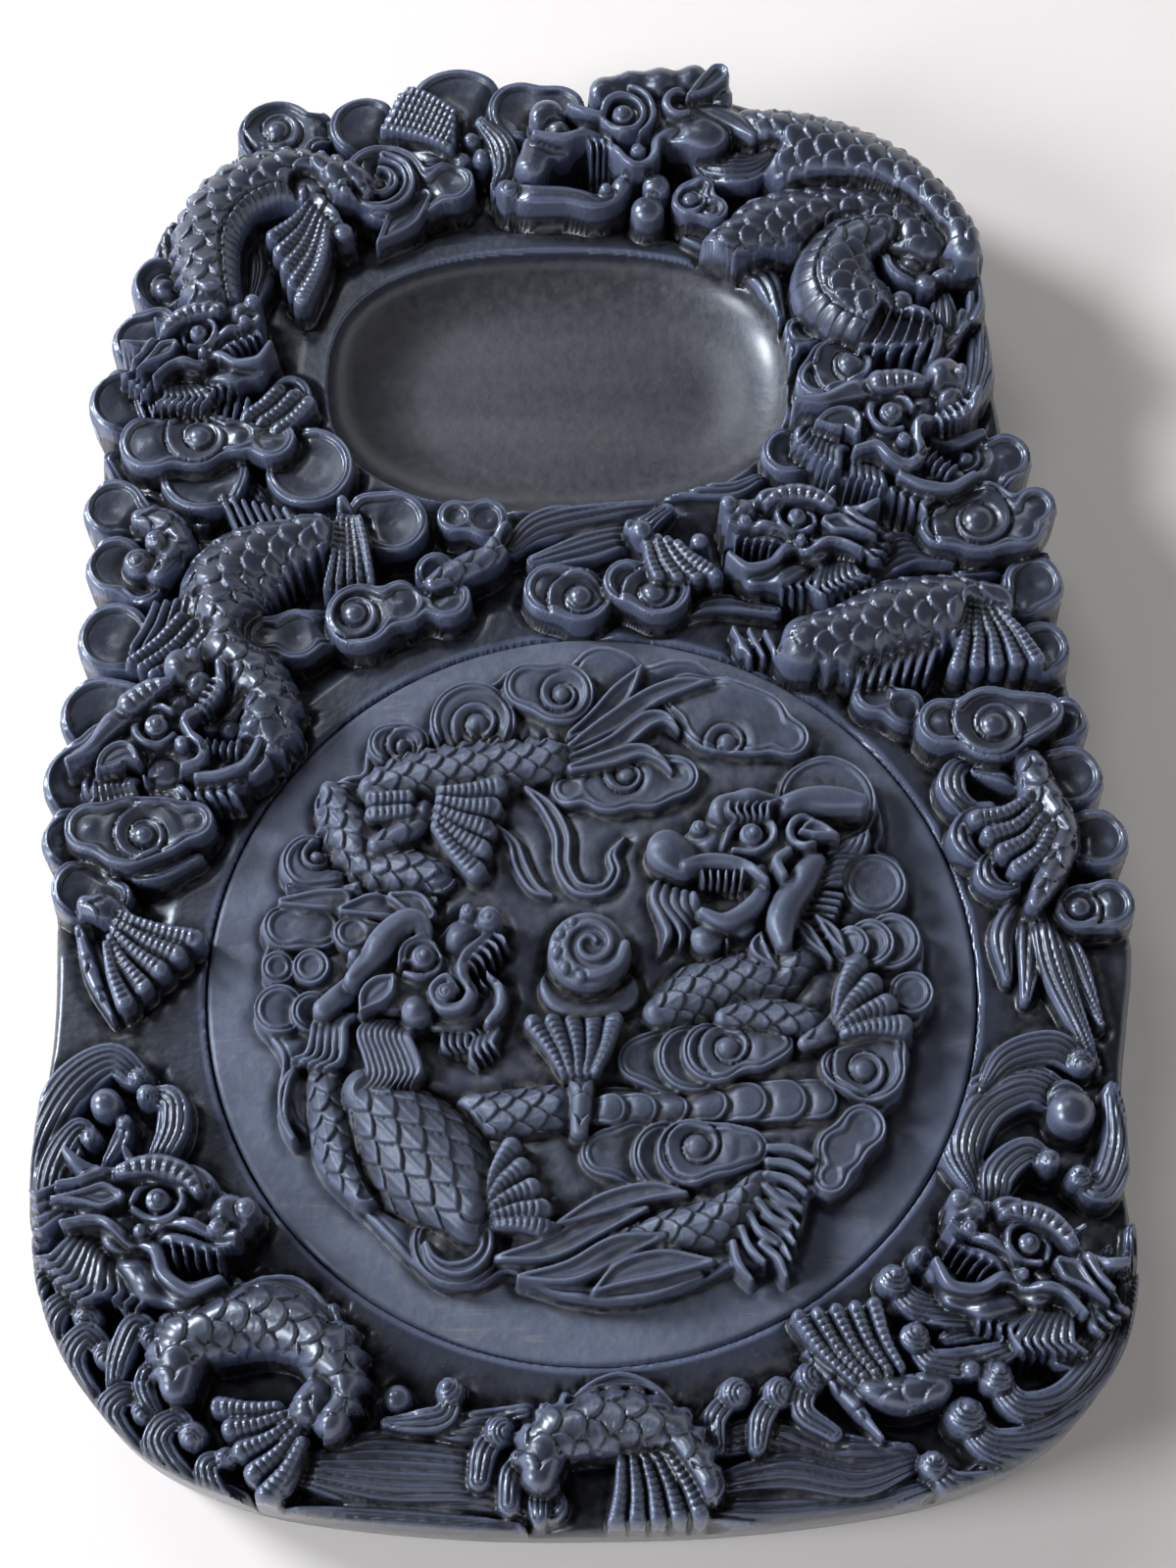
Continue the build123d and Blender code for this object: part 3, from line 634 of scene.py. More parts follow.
farHead = dict(
    strands=[
        ([(-20, 135, 1.5), (-16, 130, 3), (-15, 124, 3), (-17, 120, 1.5)], 31, 5),
        ([(22, 129, 2), (28, 125, 4.5), (34, 124, 4.5), (39, 126, 2)], 32, 8),
    ],
    clouds=[([(22.5, 115.5, 4.2), (27, 113, 3.2), (25, 118.5, 2.4)], 31.5, [(22.3, 115.2, 1.7, 1)])],
    mounds=[
        ([(12, 139, 7), (20, 142, 6.5), (26, 142, 6), (20, 136, 6), (26, 133, 5), (8, 138, 6)], 37.0),
        ([(-8, 130, 4), (-10, 125, 3.4), (-4, 130.5, 3.4), (2, 134, 4)], 34.5),
        ([(5.5, 143.5, 3.6), (11, 145, 3.6), (17, 145.5, 3.8), (24, 146, 3.8)], 38.2),
        ([(-6.6, 137.6, 3.9)], 37.0),
        ([(-4.4, 133.4, 2.8)], 36.4),
    ],
    hollows=[([(3.5, 126.5, 3.2), (4.5, 122, 3.2), (1, 121, 2)], 25.0),
             ([(-5, 125, 1.8), (-4.5, 121.5, 1.4)], 25.0)],
    tubes=[
        ([(-15, 119.5, 2.4), (-10, 117.5, 2.6), (-3, 117, 2.4), (3, 115.6, 2.4), (7, 117.6, 2.2),
          (9.5, 121.5, 1.8), (10.5, 125, 1.2)], 33.0),
        ([(-9, 132, 1.0), (-3.4, 131, 1.2), (1.5, 132.4, 1.2), (5.4, 131.2, 1.2), (8, 127.4, 1.2),
          (11.4, 124.4, 1.2), (15, 126.4, 1.2), (16, 130.6, 1.2), (19.4, 132.4, 0.9)], 36.4),
        (arc(9.2, 137.4, 4.2, 10, 380, (0.8, 1.0, 0.8), 13), 38.2),
        (arc(9.2, 137.4, 6.2, -60, 75, (0.5, 0.9, 0.5)), 37.8),
        ([(-2, 138.8, 0.8), (1.4, 137.4, 1.1), (4.4, 136.6, 0.8)], 37.4),
        (arc(21, 139.4, 3.0, 60, 300, (0.6, 1.1, 0.6)), 38.0),
        ([(24, 139, 1.0), (28, 137, 2.0), (32, 134.6, 2.2), (35.5, 131, 1.2)], 35.5),
    ],
    teeth=[(((1.8, 130.6), (6.4, 129.8)), ((2.4, 127.8), (6.2, 127.4)), 4, 35.0, 0.7, 0.05)],
    fins=[(((2.6, 144), (9, 147.5)), ((5, 141), (10, 142.5)), 4, 38.6, 0.7, 0.15)],
    leaves=[([(22.5, 141, 0.5), (26, 143.5, 2.0), (29, 146.5, 2.4)], 38.4)],
    knobs=[(9.0, 137.4, 2.3, 38.5, 0), (8.7, 137.5, 0.9, 38.8, 0), (12, 127.8, 1.8, 36, 1),
           (15.5, 119.5, 3.0, 33, 0), (13.6, 113.8, 3.6, 32, 0), (5.2, 118.4, 1.4, 34, 0),
           (-14.5, 118.8, 2.4, 33.4, 1)],
)

leftSide = dict(
    strands=[
        ([(-66, 52, 2), (-60, 46, 3.5), (-50, 44, 3)], 26.5, 4),
        ([(-92, 57, 2), (-88, 52, 3), (-80, 48, 3.5), (-74, 44, 2)], 27, 4),
        ([(-85, 36, 2), (-82, 28, 3), (-79, 20, 2)], 27, 4),
        ([(-70, 12, 2), (-70, 2, 3.5), (-68, -8, 2)], 28, 4),
    ],
    clouds=[
        ([(-87.5, 84, 6.3), (-84, 88, 3.5)], 29.5),
        ([(-90, 70, 7.6), (-84, 67.5, 4.2)], 29.5),
        ([(-91, 46, 6.4), (-86, 43, 4)], 29.0),
        ([(-90, 33.5, 6.3), (-85, 29, 4.2)], 29.0),
        ([(-89.5, 18, 7.4), (-84, 13.5, 3.6)], 29.5),
        ([(-91.5, 2, 7.8), (-86, 4, 4.5)], 29.5),
        ([(-93, -11.5, 8.6), (-90, -4, 4.5)], 29.5),
        ([(-95, -23, 6.3)], 29.0),
        ([(-92.5, -33, 6.3), (-87, -34.5, 3.5)], 29.0),
        ([(-58, 70.5, 4.8)], 29.0),
        ([(-53.5, 54.5, 8.8), (-58, 60, 4)], 29.0),
        ([(-37, 42, 7), (-42, 44, 4.5)], 29.5),
        ([(-19, 42.5, 4.5), (-25, 43, 3.8)], 28.5),
        ([(-74, 53.5, 8.8)], 29.5),
        ([(-84.5, 60.5, 6.5), (-76, 61.8, 7.2), (-68, 62, 4.6), (-61, 61, 4.8)], 31.5, [(-75, 61.8, 2.6, 1)]),
    ],
    coils=[
        ([(-86, 44, 2), (-82, 43, 4), (-80, 38, 5), (-82, 33, 3)], 32, 0, 0),
        ([(-46, 41, 2), (-53, 41, 4.5), (-62, 38, 8), (-69.5, 31, 9), (-70, 21, 7.5), (-65, 12, 6.5),
          (-61, 2, 6), (-64, -5, 4)], 35.5, 1, 0),
    ],
    fins=[
        (((-70, 48), (-58, 45)), ((-67, 41), (-56, 41)), 7, 29, 1.0, 0.0),
        (((-88, 72), (-66, 70)), ((-86, 66), (-67, 65)), 12, 30, 0.9, 0.0),
        (((-82, 25), (-74, 26)), ((-86, 16), (-78, 15)), 5, 31, 1.2, 0.05),
    ],
    claws=[
        (((-47.5, 44), (-43.5, 43)), ((-49.5, 28), (-41, 27.5)), 5, 32.5, 0.02),
        (((-60, 72), (-54, 69)), ((-66, 66), (-60, 63)), 3, 30, 0.05),
        (((-77, 22), (-72, 19)), ((-86, 13), (-82, 10)), 3, 32, 0.05),
        (((-86, -38), (-88, -44)), ((-72, -43), (-84, -55)), 5, 31, -0.04),
    ],
    limbs=[([(-47, 47, 1.3), (-45.5, 42, 2.2)], 33), ([(-92, -36, 2), (-88, -37, 3), (-85, -39, 2.2)], 32),
           ([(-93, -41, 1), (-90, -50, 1.5), (-86, -58, 0.6)], 29)],
    heads=[(bodyHead, -76.5, 86, 28, 0.80, 1, 37.0), (sideHead, -81, 0, 60, 1.0, 1, 37.5)],
    knobs=[(-83, 39, 2.2, 33, 1), (-86, 34.5, 3.2, 32, 1), (-67, -1.5, 2.3, 31, 0), (-79, -10, 3.3, 33, 0)],
)

leftLater = dict(
    clouds=[
        ([(-61, 18, 4), (-55, 18, 5.6), (-49, 20, 4)], 29.0),
        ([(-43, 22, 6.8), (-35, 24.5, 5), (-26.5, 25.5, 4.8)], 31.0, [(-44, 22.5, 2.4, 1)]),
        ([(-28.5, 31, 4.4)], 29.5),
        ([(-92, -21, 5), (-85, -22, 7.2), (-79, -21, 6), (-73, -20, 4)], 32.0, [(-82, -22.7, 2.1, 1)]),
    ],
    coils=[([(-29, 29, 2), (-24, 32, 3), (-18, 35, 2.8), (-15, 41, 1.6)], 31.0, 0, 0)],
    strands=[([(-88, -28, 1.5), (-80, -29.5, 2.5), (-72, -27, 1.2)], 29.5, 4)],
)

middleBand = dict(
    strands=[
        ([(-14, 36, 2), (-8, 41, 4), (5, 44, 4), (13, 45, 2)], 27, 5),
        ([(-10, 33, 1.5), (0, 36, 3.5), (9, 39, 2.5), (16, 44, 1.5)], 27.5, 4),
        ([(0, 48, 1), (14, 49, 2.4), (28, 48, 2), (36, 52, 1)], 26.5, 3),
        ([(18, 22, 1), (26, 24, 2.5), (36, 22, 1.5)], 27, 3),
    ],
    clouds=[
        ([(-6.5, 27, 5.6), (-1, 25.5, 6)], 30.5, [(-1, 25.5, 2.4, -1)]),
        ([(8, 28.5, 4.8), (14, 27, 6.3)], 31.0, [(13, 26.3, 2.4, -1)]),
    ],
    limbs=[([(9, 41, 1.6), (13, 38, 2.4), (17, 36, 2)], 32)],
    claws=[(((12, 39), (18, 36.5)), ((14, 30), (25, 30)), 4, 32, -0.05)],
    knobs=[(11, 40, 2.3, 32, 0), (22, 37, 2, 31, 0)],
)

rightSide = dict(
    strands=[
        ([(88, 33, 1.5), (80, 33, 3.5), (72, 30, 2)], 28, 4),
        ([(44, 30, 2), (52, 31, 4.5), (62, 35, 4), (70, 33, 1.5)], 30, 6),
        ([(80, -36, 2), (75, -44, 2.6), (75, -53, 1)], 28, 3),
        ([(81, -37, 2), (80, -46, 3), (78, -57, 1)], 28.5, 3),
        ([(84, -39, 2), (87, -50, 3), (91, -62, 0.8)], 28, 4),
        ([(82, -38, 2), (84, -52, 3), (90, -70, 0.8)], 29, 4),
        (arc(72.5, -14.5, 5.2, 75, 290, (1.4, 3.0, 1.4)), 30.5, 4),
        (arc(73, -25, 4.6, 80, 285, (1.2, 2.6, 1.2)), 30, 3),
        (arc(76, -32, 3.6, 100, 300, (1.2, 2.4, 1.2)), 29.5, 3),
        ([(72, -12, 1.2), (77, -13, 2.2), (82, -15, 1.5)], 30, 3),
    ],
    clouds=[
        ([(82, 54.5, 5.4), (75, 54.5, 5.6), (79, 50, 3.6)], 31.0, [(74, 54.5, 1.9, -1)]),
        ([(85.5, 27, 6), (83, 23, 3.5)], 29.5),
        ([(86, 13, 5.7)], 29.0),
        ([(89, -2, 5), (85, -6, 3)], 29.0),
        ([(89.5, -13.5, 6.3), (84, -12, 4)], 29.5),
        ([(93.5, -26, 6), (90, -25.5, 4.5)], 29.5),
        ([(89, -39.5, 4.5), (94.5, -39, 5)], 30.0, [(89, -39.5, 2.2, 1)]),
        ([(40, 56.5, 5.5)], 29.5),
        ([(54, 4, 4.4), (59.5, 1, 4.2)], 29.0),
    ],
    coils=[
        ([(78, 24, 4), (69, 24, 7), (59, 22, 8.8), (50, 18, 7.5), (42, 17, 5)], 35.0, 1, 0),
    ],
    fins=[
        (((66, 14), (52, 10)), ((64, 8), (51, 6)), 7, 30, 1.1, 0.0),
    ],
    limbs=[([(82, -9, 2.6), (84, -16, 3.8), (86.5, -24, 4.2), (84.5, -32, 3), (81, -38.5, 1.6)], 33)],
    claws=[(((73, 22), (79, 21)), ((70, 10), (85, 11)), 5, 32, 0.03),
           (((81.5, -17.5), (85, -24)), ((71.5, -21.5), (78.5, -31.5)), 4, 32.5, 0.10)],
    knobs=[(30, 15, 2.0, 29, 0)],
)

rightLater = dict(
    fins=[(((28, 18), (34, 17)), ((31, 12), (36, 12)), 3, 28.5, 1.0, 0.0)],
    heads=[(sideHead, 60.5, 65.5, 27, 1.06, 1, 38.3), (bodyHead, 41, 42.5, 172, 0.85, -1, 37.0)],
    clouds=[
        ([(76, 41.5, 8.2), (87, 43.5, 4.4), (84, 39, 4.6), (69, 39.5, 4.6)], 32.5, [(76, 41, 3.4, -1)]),
        ([(66.5, -2, 5), (75.5, -2.3, 7.6), (82, -1, 5), (86, 0, 3.4)], 32.5, [(76, -2.6, 2.9, 1)]),
    ],
)

nearLeft = dict(
    curls=[
        ([(-98.5, -94, 2), (-98, -82, 3.4), (-93, -71, 4.4), (-86, -66, 3.6), (-80.5, -69.5, 2.4)],
         29.5, 1.9, 6),
        ([(-96, -98, 2), (-94.5, -86, 3.4), (-91, -79, 2.6), (-88.5, -80.5, 1.8)], 30, 2.0, 5),
        ([(-86, -86, 1), (-83.5, -81, 1.8), (-83, -77.5, 1.4)], 30, 1.7, 3),
        ([(-77, -85, 2), (-74.5, -79, 3), (-75, -73.5, 2.8), (-79, -72.8, 1.8)], 31, 2.2, 5),
        ([(-80, -138, 1), (-93, -124, 2.4), (-98, -110, 3), (-95, -103.5, 2.8), (-91.5, -106, 1.8)],
         29.5, 2.8, 5),
        ([(-76, -140, 1), (-88, -127, 2.4), (-94, -115, 3), (-91, -109.5, 2.6), (-87.5, -112.5, 1.8)],
         29.5, 2.8, 5),
        ([(-71, -142, 1), (-83, -131, 2.6), (-90, -121, 3), (-87.5, -115.5, 2.6), (-83.5, -119, 1.8)],
         30, 2.8, 5),
        ([(-83, -127, 1), (-81.5, -119, 2.4), (-79, -113.5, 2.4), (-75.5, -116, 1.8)], 31, 3.0, 4),
        ([(-65, -144, 1), (-77, -137, 2.6), (-83, -129.5, 3), (-80, -125.5, 2.4), (-76.5, -128.5, 1.6)],
         30, 2.9, 5),
        ([(-74, -131, 1), (-77, -124, 2.2), (-74, -120, 2.2), (-71, -122.5, 1.6)], 30.5, 2.4, 4),
        ([(-60, -145, 1), (-69, -141, 2.4), (-74.5, -134, 2.8), (-71.5, -130, 2.4), (-68.5, -133, 1.6)],
         30, 2.7, 5),
        ([(-58, -146, 1), (-64, -143, 2), (-66, -138, 2.2), (-62.5, -136.5, 1.5)], 29.5, 2.0, 4),
    ],
    strands=[
        ([(-99, -96, 2), (-97.5, -108, 3.4), (-92, -121, 4), (-84, -131, 4), (-74, -138, 3.4),
          (-60, -144, 2)], 27, 5),
        ([(-99, -100, 1.5), (-92, -96, 3), (-84, -98, 3.5), (-80, -104, 2)], 29, 5),
        ([(-90, -100, 2), (-84, -104, 3.4), (-79, -112, 2)], 29.5, 5),
    ],
    coils=[([(-72, -124, 3), (-71, -117, 5.5), (-64, -113, 6.8), (-56, -112.5, 6.5), (-48.5, -116, 5.5),
             (-45, -123, 4.5), (-46, -130, 3)], 35.0, 1, 0)],
    leaves=[(arc(-56, -118, 11.5, 120, 20, (0.5, 1.6, 0.5)), 30)],
    claws=[(((-54, -128), (-50, -134)), ((-64, -128), (-56, -143)), 5, 31.5, 0.05)],
    limbs=[([(-48, -126, 3), (-51, -130, 2.8), (-53, -132, 2)], 33),
           ([(-50, -134, 1.5), (-52, -140, 1.6), (-55, -145, 0.6)], 30)],
    heads=[(bodyHead, -76.5, -91.6, -11, 1.0, 1, 37.5)],
    knobs=[(-86.5, -73.8, 3.0, 32, 0)],
)

nearEdge = dict(
    strands=[
        ([(-52, -138, 3), (-36, -139, 7.5), (-20, -140.5, 6), (-8, -145, 3)], 28, 8),
        ([(-56, -146, 1.5), (-36, -148, 3), (-14, -149.5, 2)], 26.5, 3),
        ([(16, -146, 2), (30, -146.5, 3.5), (46, -145, 3), (58, -142, 1.5)], 26.5, 4),
        ([(18, -136, 2), (28, -134, 4), (40, -138, 5), (52, -138, 2.5)], 28, 6),
        ([(20, -142, 2), (32, -140, 3.5), (44, -142, 3), (54, -139, 1.5)], 27.5, 4),
        ([(-30, -131, 1.5), (-22, -132, 3), (-12, -130, 2)], 28, 4),
    ],
    curls=[
        ([(-36, -131, 1), (-31, -131, 2.2), (-26, -130, 2.4), (-25, -126, 1.8)], 29.5, 2.6, 4),
        ([(-20, -141, 2), (-19, -136, 2.4), (-16.5, -133, 2)], 29.5, 2.8, 4),
        ([(-15, -145, 2), (-14.5, -140, 2.2), (-12.5, -137.5, 1.8)], 29.5, 2.5, 4),
        ([(-10, -147, 1.6), (-10, -144, 2), (-8.5, -142, 1.6)], 29, 2.3, 4),
        ([(20, -136, 1.6), (20, -131, 2.2), (23.5, -127, 2)], 30, 3.0, 4),
        ([(27, -136, 1.6), (28, -131, 2.2), (31, -127, 2)], 30, 3.0, 4),
        ([(40, -134, 1.6), (35, -130, 2.2), (36.5, -124.5, 2)], 30, 3.0, 4),
    ],
    coils=[([(-10, -140, 3), (-8, -134, 4.6), (0, -131, 5.6), (9, -132, 5.4), (14, -136, 4.4), (18, -142, 3)],
            34.0, 1, 0)],
    leaves=[(arc(4, -136, 11.5, 140, 40, (0.5, 1.6, 0.5)), 29)],
    claws=[(((4, -138), (12, -137)), ((3, -148), (17, -147)), 5, 30.5, 0.03),
           (((44, -125), (52, -123)), ((35, -114), (48, -112)), 5, 32, 0.05)],
    limbs=[([(58, -126, 3), (52, -127, 3.4), (46, -126, 2.6)], 33),
           ([(36, -120, 0.6), (42, -127, 1.6), (48, -135, 0.6)], 30)],
    knobs=[(-34, -127, 2.6, 29, 0)],
)

nearRight = dict(
    curls=[
        ([(67, -92, 2), (65, -84, 4.5), (69, -76, 5), (77, -72.5, 4.5), (84, -75.5, 3)], 30, 3.6, 7),
        ([(69, -74, 1), (74, -68, 3), (82, -66, 3.6), (87, -69, 2.6)], 29, 2.6, 5),
        ([(70, -96, 2), (71, -89, 3.2), (76, -85, 2.8), (80, -87, 2)], 31, 2.2, 5),
        ([(92, -74, 1.5), (92.5, -84, 3), (89, -92, 3), (85, -90, 2)], 30, 2.4, 5),
        ([(66, -106, 1), (61, -107.5, 2), (56.5, -104, 1.8)], 31, 2.3, 4),
        ([(76, -110, 1.5), (66, -112.5, 3.4), (56, -112.5, 3), (51.5, -108, 2.2)], 31, 3.1, 6),
        ([(73, -119, 1.5), (65, -122, 3), (57.5, -122, 2.6), (54.5, -118, 2)], 31, 2.9, 5),
        ([(89, -103, 1), (86, -114, 2.4), (81, -121, 2.6), (76.5, -118.5, 1.8)], 30.5, 2.6, 4),
        ([(92, -104, 1), (89, -117, 2.8), (81, -128, 3.6), (72.5, -130, 3), (68, -125, 2.2)], 30.5, 3.2, 6),
        ([(94, -108, 1), (89, -125, 3), (78, -135, 4), (67.5, -136.5, 3.4), (62.5, -131.5, 2.4)], 30, 3.6, 7),
        ([(82, -138, 1), (71, -142, 2.4), (61, -143, 2.6), (56.5, -139.5, 1.8)], 29.5, 2.6, 4),
    ],
    strands=[
        ([(94, -100, 2), (93, -112, 3), (87, -124, 4), (76, -135, 4), (62, -143, 2.5)], 27, 5),
        ([(56, -110, 1.5), (64, -110, 3.5), (72, -112, 2)], 29.5, 5),
        ([(60, -118, 1.5), (68, -115, 3), (76, -113, 2)], 29.5, 4),
    ],
    heads=[(bodyHead, 75.5, -101.5, 150, 0.9, -1, 37.5)],
    knobs=[(85, -77.5, 4.3, 32.5, 0), (64, -123.5, 1.8, 31, 0)],
)

regions = [farLeft, farRight, farHead, leftSide, leftLater, middleBand, rightSide, rightLater,
           nearEdge, nearLeft, nearRight]


def carveRegion(carver, region, cloudStyle=None):
    for route, top, count in region.get("strands", ()):
        carver.strands(route, top, count)
    for lobes, top, *balls in region.get("clouds", ()):
        carver.cloud(lobes, top, *balls, **(cloudStyle or {}))
    for route, top, knob, count in region.get("curls", ()):
        carver.curl(route, top, knob, count)
    for route, top, teeth, *coat in region.get("coils", ()):
        carver.tube(route, top, coilCoat(*coat), 1.0, teeth)
    for route, top in region.get("limbs", ()):
        carver.tube(route, top, scaleCoat)
    for roots, tips, count, top, radius, sag in region.get("fins", ()):
        carver.comb(roots, tips, count, top, radius, None, sag)
    for place in region.get("beards", ()):
        carver.beard(*place)
    for roots, tips, count, top, sag in region.get("claws", ()):
        carver.fan(roots, tips, count, top, sag)
    for lobes, top in region.get("mounds", ()):
        carver.mound(lobes, top)
    for place in region.get("heads", ()):
        carveRegion(carver, turnedHead(*place))
    for lobes, floor in region.get("hollows", ()):
        carver.hollow(lobes, floor)
    for route, top in region.get("tubes", ()):
        carver.tube(route, top, None, 0.9)
    for route, top in region.get("ribbed", ()):
        carver.tube(route, top, beadCoat, 0.9)
    for roots, tips, count, top, radius, sag in region.get("teeth", ()):
        carver.comb(roots, tips, count, top, radius, None, sag)
    for route, top in region.get("leaves", ()):
        carver.leaf(route, top)
    for x, y, radius, top, swirl in region.get("knobs", ()):
        carver.knob(x, y, radius, top, 0.9, 1.0, swirl)


def insidePool(x, y):
    px = np.abs(x - body["poolCentre"][0]) / body["poolHalf"][0]
    py = np.abs(y - body["poolCentre"][1]) / body["poolHalf"][1]
    power = body["poolSquareness"]
    return (1 - (px ** power + py ** power) ** (1 / power)) * body["poolHalf"][1]


def carveGround(relief, settings):
    x, y = relief.everywhere()
    fromLid = np.hypot(x - settings["lidCentre"][0], y - settings["lidCentre"][1])
    fromPool = -insidePool(x, y)
    flat = 1 - ease(fromLid, *settings["flatRoundLid"])
    flat = np.maximum(flat, 1 - ease(fromPool, *settings["flatRoundPool"]))
    for side, outwards, start, end in settings["bare"]:
        flat = np.maximum(flat, ease(side * x, *outwards) * ease(y, *start) * (1 - ease(y, *end)))
    relief.height[:] = settings["ground"] + (settings["field"] - settings["ground"]) * flat


def carvePoolAndWell(relief, settings):
    x, y = relief.everywhere()
    inPool = insidePool(x, y)
    depth = settings["field"] - settings["poolFloor"]
    bowl = settings["field"] - depth * roundOff(inPool, settings["poolRounding"])
    relief.height[:] = np.where(inPool > 0, np.minimum(relief.height, bowl), relief.height)
    fromLid = np.hypot(x - settings["lidCentre"][0], y - settings["lidCentre"][1])
    beyondSeat = fromLid - settings["seatRadius"]
    dip = settings["seatDip"] * (1 - roundOff(beyondSeat, settings["seatRounding"]))
    relief.height[:] -= dip * (fromLid > settings["seatRadius"])
    onLedge = fromLid < settings["seatRadius"] - relief.step / 2
    relief.height[:] = np.where(onLedge, settings["ledge"], relief.height)
    inWell = settings["wellRadius"] - fromLid
    wellWall = 1 - roundOff(inWell, settings["wellRounding"])
    bowl = settings["wellFloor"] + (settings["ledge"] - settings["wellFloor"]) * wellWall
    relief.height[:] = np.where(inWell > 0, bowl, relief.height)


def carveBody():
    relief = Relief((-104, -151), (104, 151), grid["step"], body["ground"])
    carver = Carver(relief)
    carveGround(relief, body)
    for region in regions:
        carveRegion(carver, region)
    carvePoolAndWell(relief, body)
    return relief


# The lid

lid = dict(
    centre=(0.0, -50.0),
    radius=70.0,
    rim=24.0,
    ledge=18.0,
    plugRadius=59.0,
    plug=15.0,
    edge=1.2,
    bank=29.0,           # flat top of the carved bank
    cloudStyle=dict(dish=0.6, moat=1.0, drop=0.6, line=0.85),
    bankOutline=[(-30, -3), (-28.5, 3), (-24, 7.5), (-18, 7.5), (-15, 10), (-10, 11.5), (-4, 11), (0, 14),
                 (4, 14.7), (8.5, 13), (11.5, 10.8), (16, 11.8), (20.5, 11.5), (24, 9), (26, 6.5), (31, 6),
                 (34, 3), (36, 1), (40, -1), (42, -5), (40.5, -8.5), (45, -8.5), (50, -12), (53.5, -18),
                 (54.3, -24), (53, -27.3), (56.5, -29.5), (58.3, -34), (57.5, -38), (55.5, -40.7), (59, -42),
                 (60.5, -46), (60, -51), (60.5, -56), (59, -61), (56, -63), (56.8, -67), (55.5, -71),
                 (54.5, -75), (51.5, -77.5), (51.8, -81), (48.5, -85), (46, -90), (41.5, -93.5), (38, -93),
                 (36, -99), (32, -101), (29, -105), (24, -105.5), (15, -109.5), (6, -111.3), (-2, -111),
                 (-9, -109), (-15, -105.5), (-20, -108), (-26, -108), (-31, -104.5), (-36, -99.5),
                 (-41, -94), (-46, -88.5), (-49, -82), (-53.5, -78), (-56, -72), (-55.5, -66.5),
                 (-58.5, -61), (-59.5, -56), (-58, -52.5), (-59.8, -48), (-59, -44.5), (-60.3, -41),
                 (-58, -37), (-54, -35.5), (-56.8, -31), (-56.8, -26.5), (-53.5, -23.3), (-50.5, -22),
                 (-51, -17), (-49, -13), (-45, -11.3), (-42, -10.5), (-41.5, -5.5), (-38.5, -1.5),
                 (-34, -0.3)],
)


def insideBank(x, y):
    if "bankTable" not in lid:
        points = curveThrough(seen(lid["bankOutline"], lid["bank"]), 6, closed=True) - lid["centre"]
        angle = np.arctan2(points[:, 1], points[:, 0])
        order = np.argsort(angle)
        r = np.hypot(points[order, 0], points[order, 1])
        slope = np.gradient(np.log(r)) / np.maximum(np.gradient(angle[order]), 0.004)
        lid["bankTable"] = (angle[order], r, 1 / np.sqrt(1 + np.clip(slope, -2, 2) ** 2))
    dx, dy = x - lid["centre"][0], y - lid["centre"][1]
    turn = np.arctan2(dy, dx)
    angle, r, lean = lid["bankTable"]
    gap = np.interp(turn, angle, r, period=2 * math.pi) - np.hypot(dx, dy)
    return gap * np.interp(turn, angle, lean, period=2 * math.pi)


# Scales of the coils on the lid: their pitch, breadth, and how far they are drawn to a point
leafScales = (2.8, 1.55, 0.35)

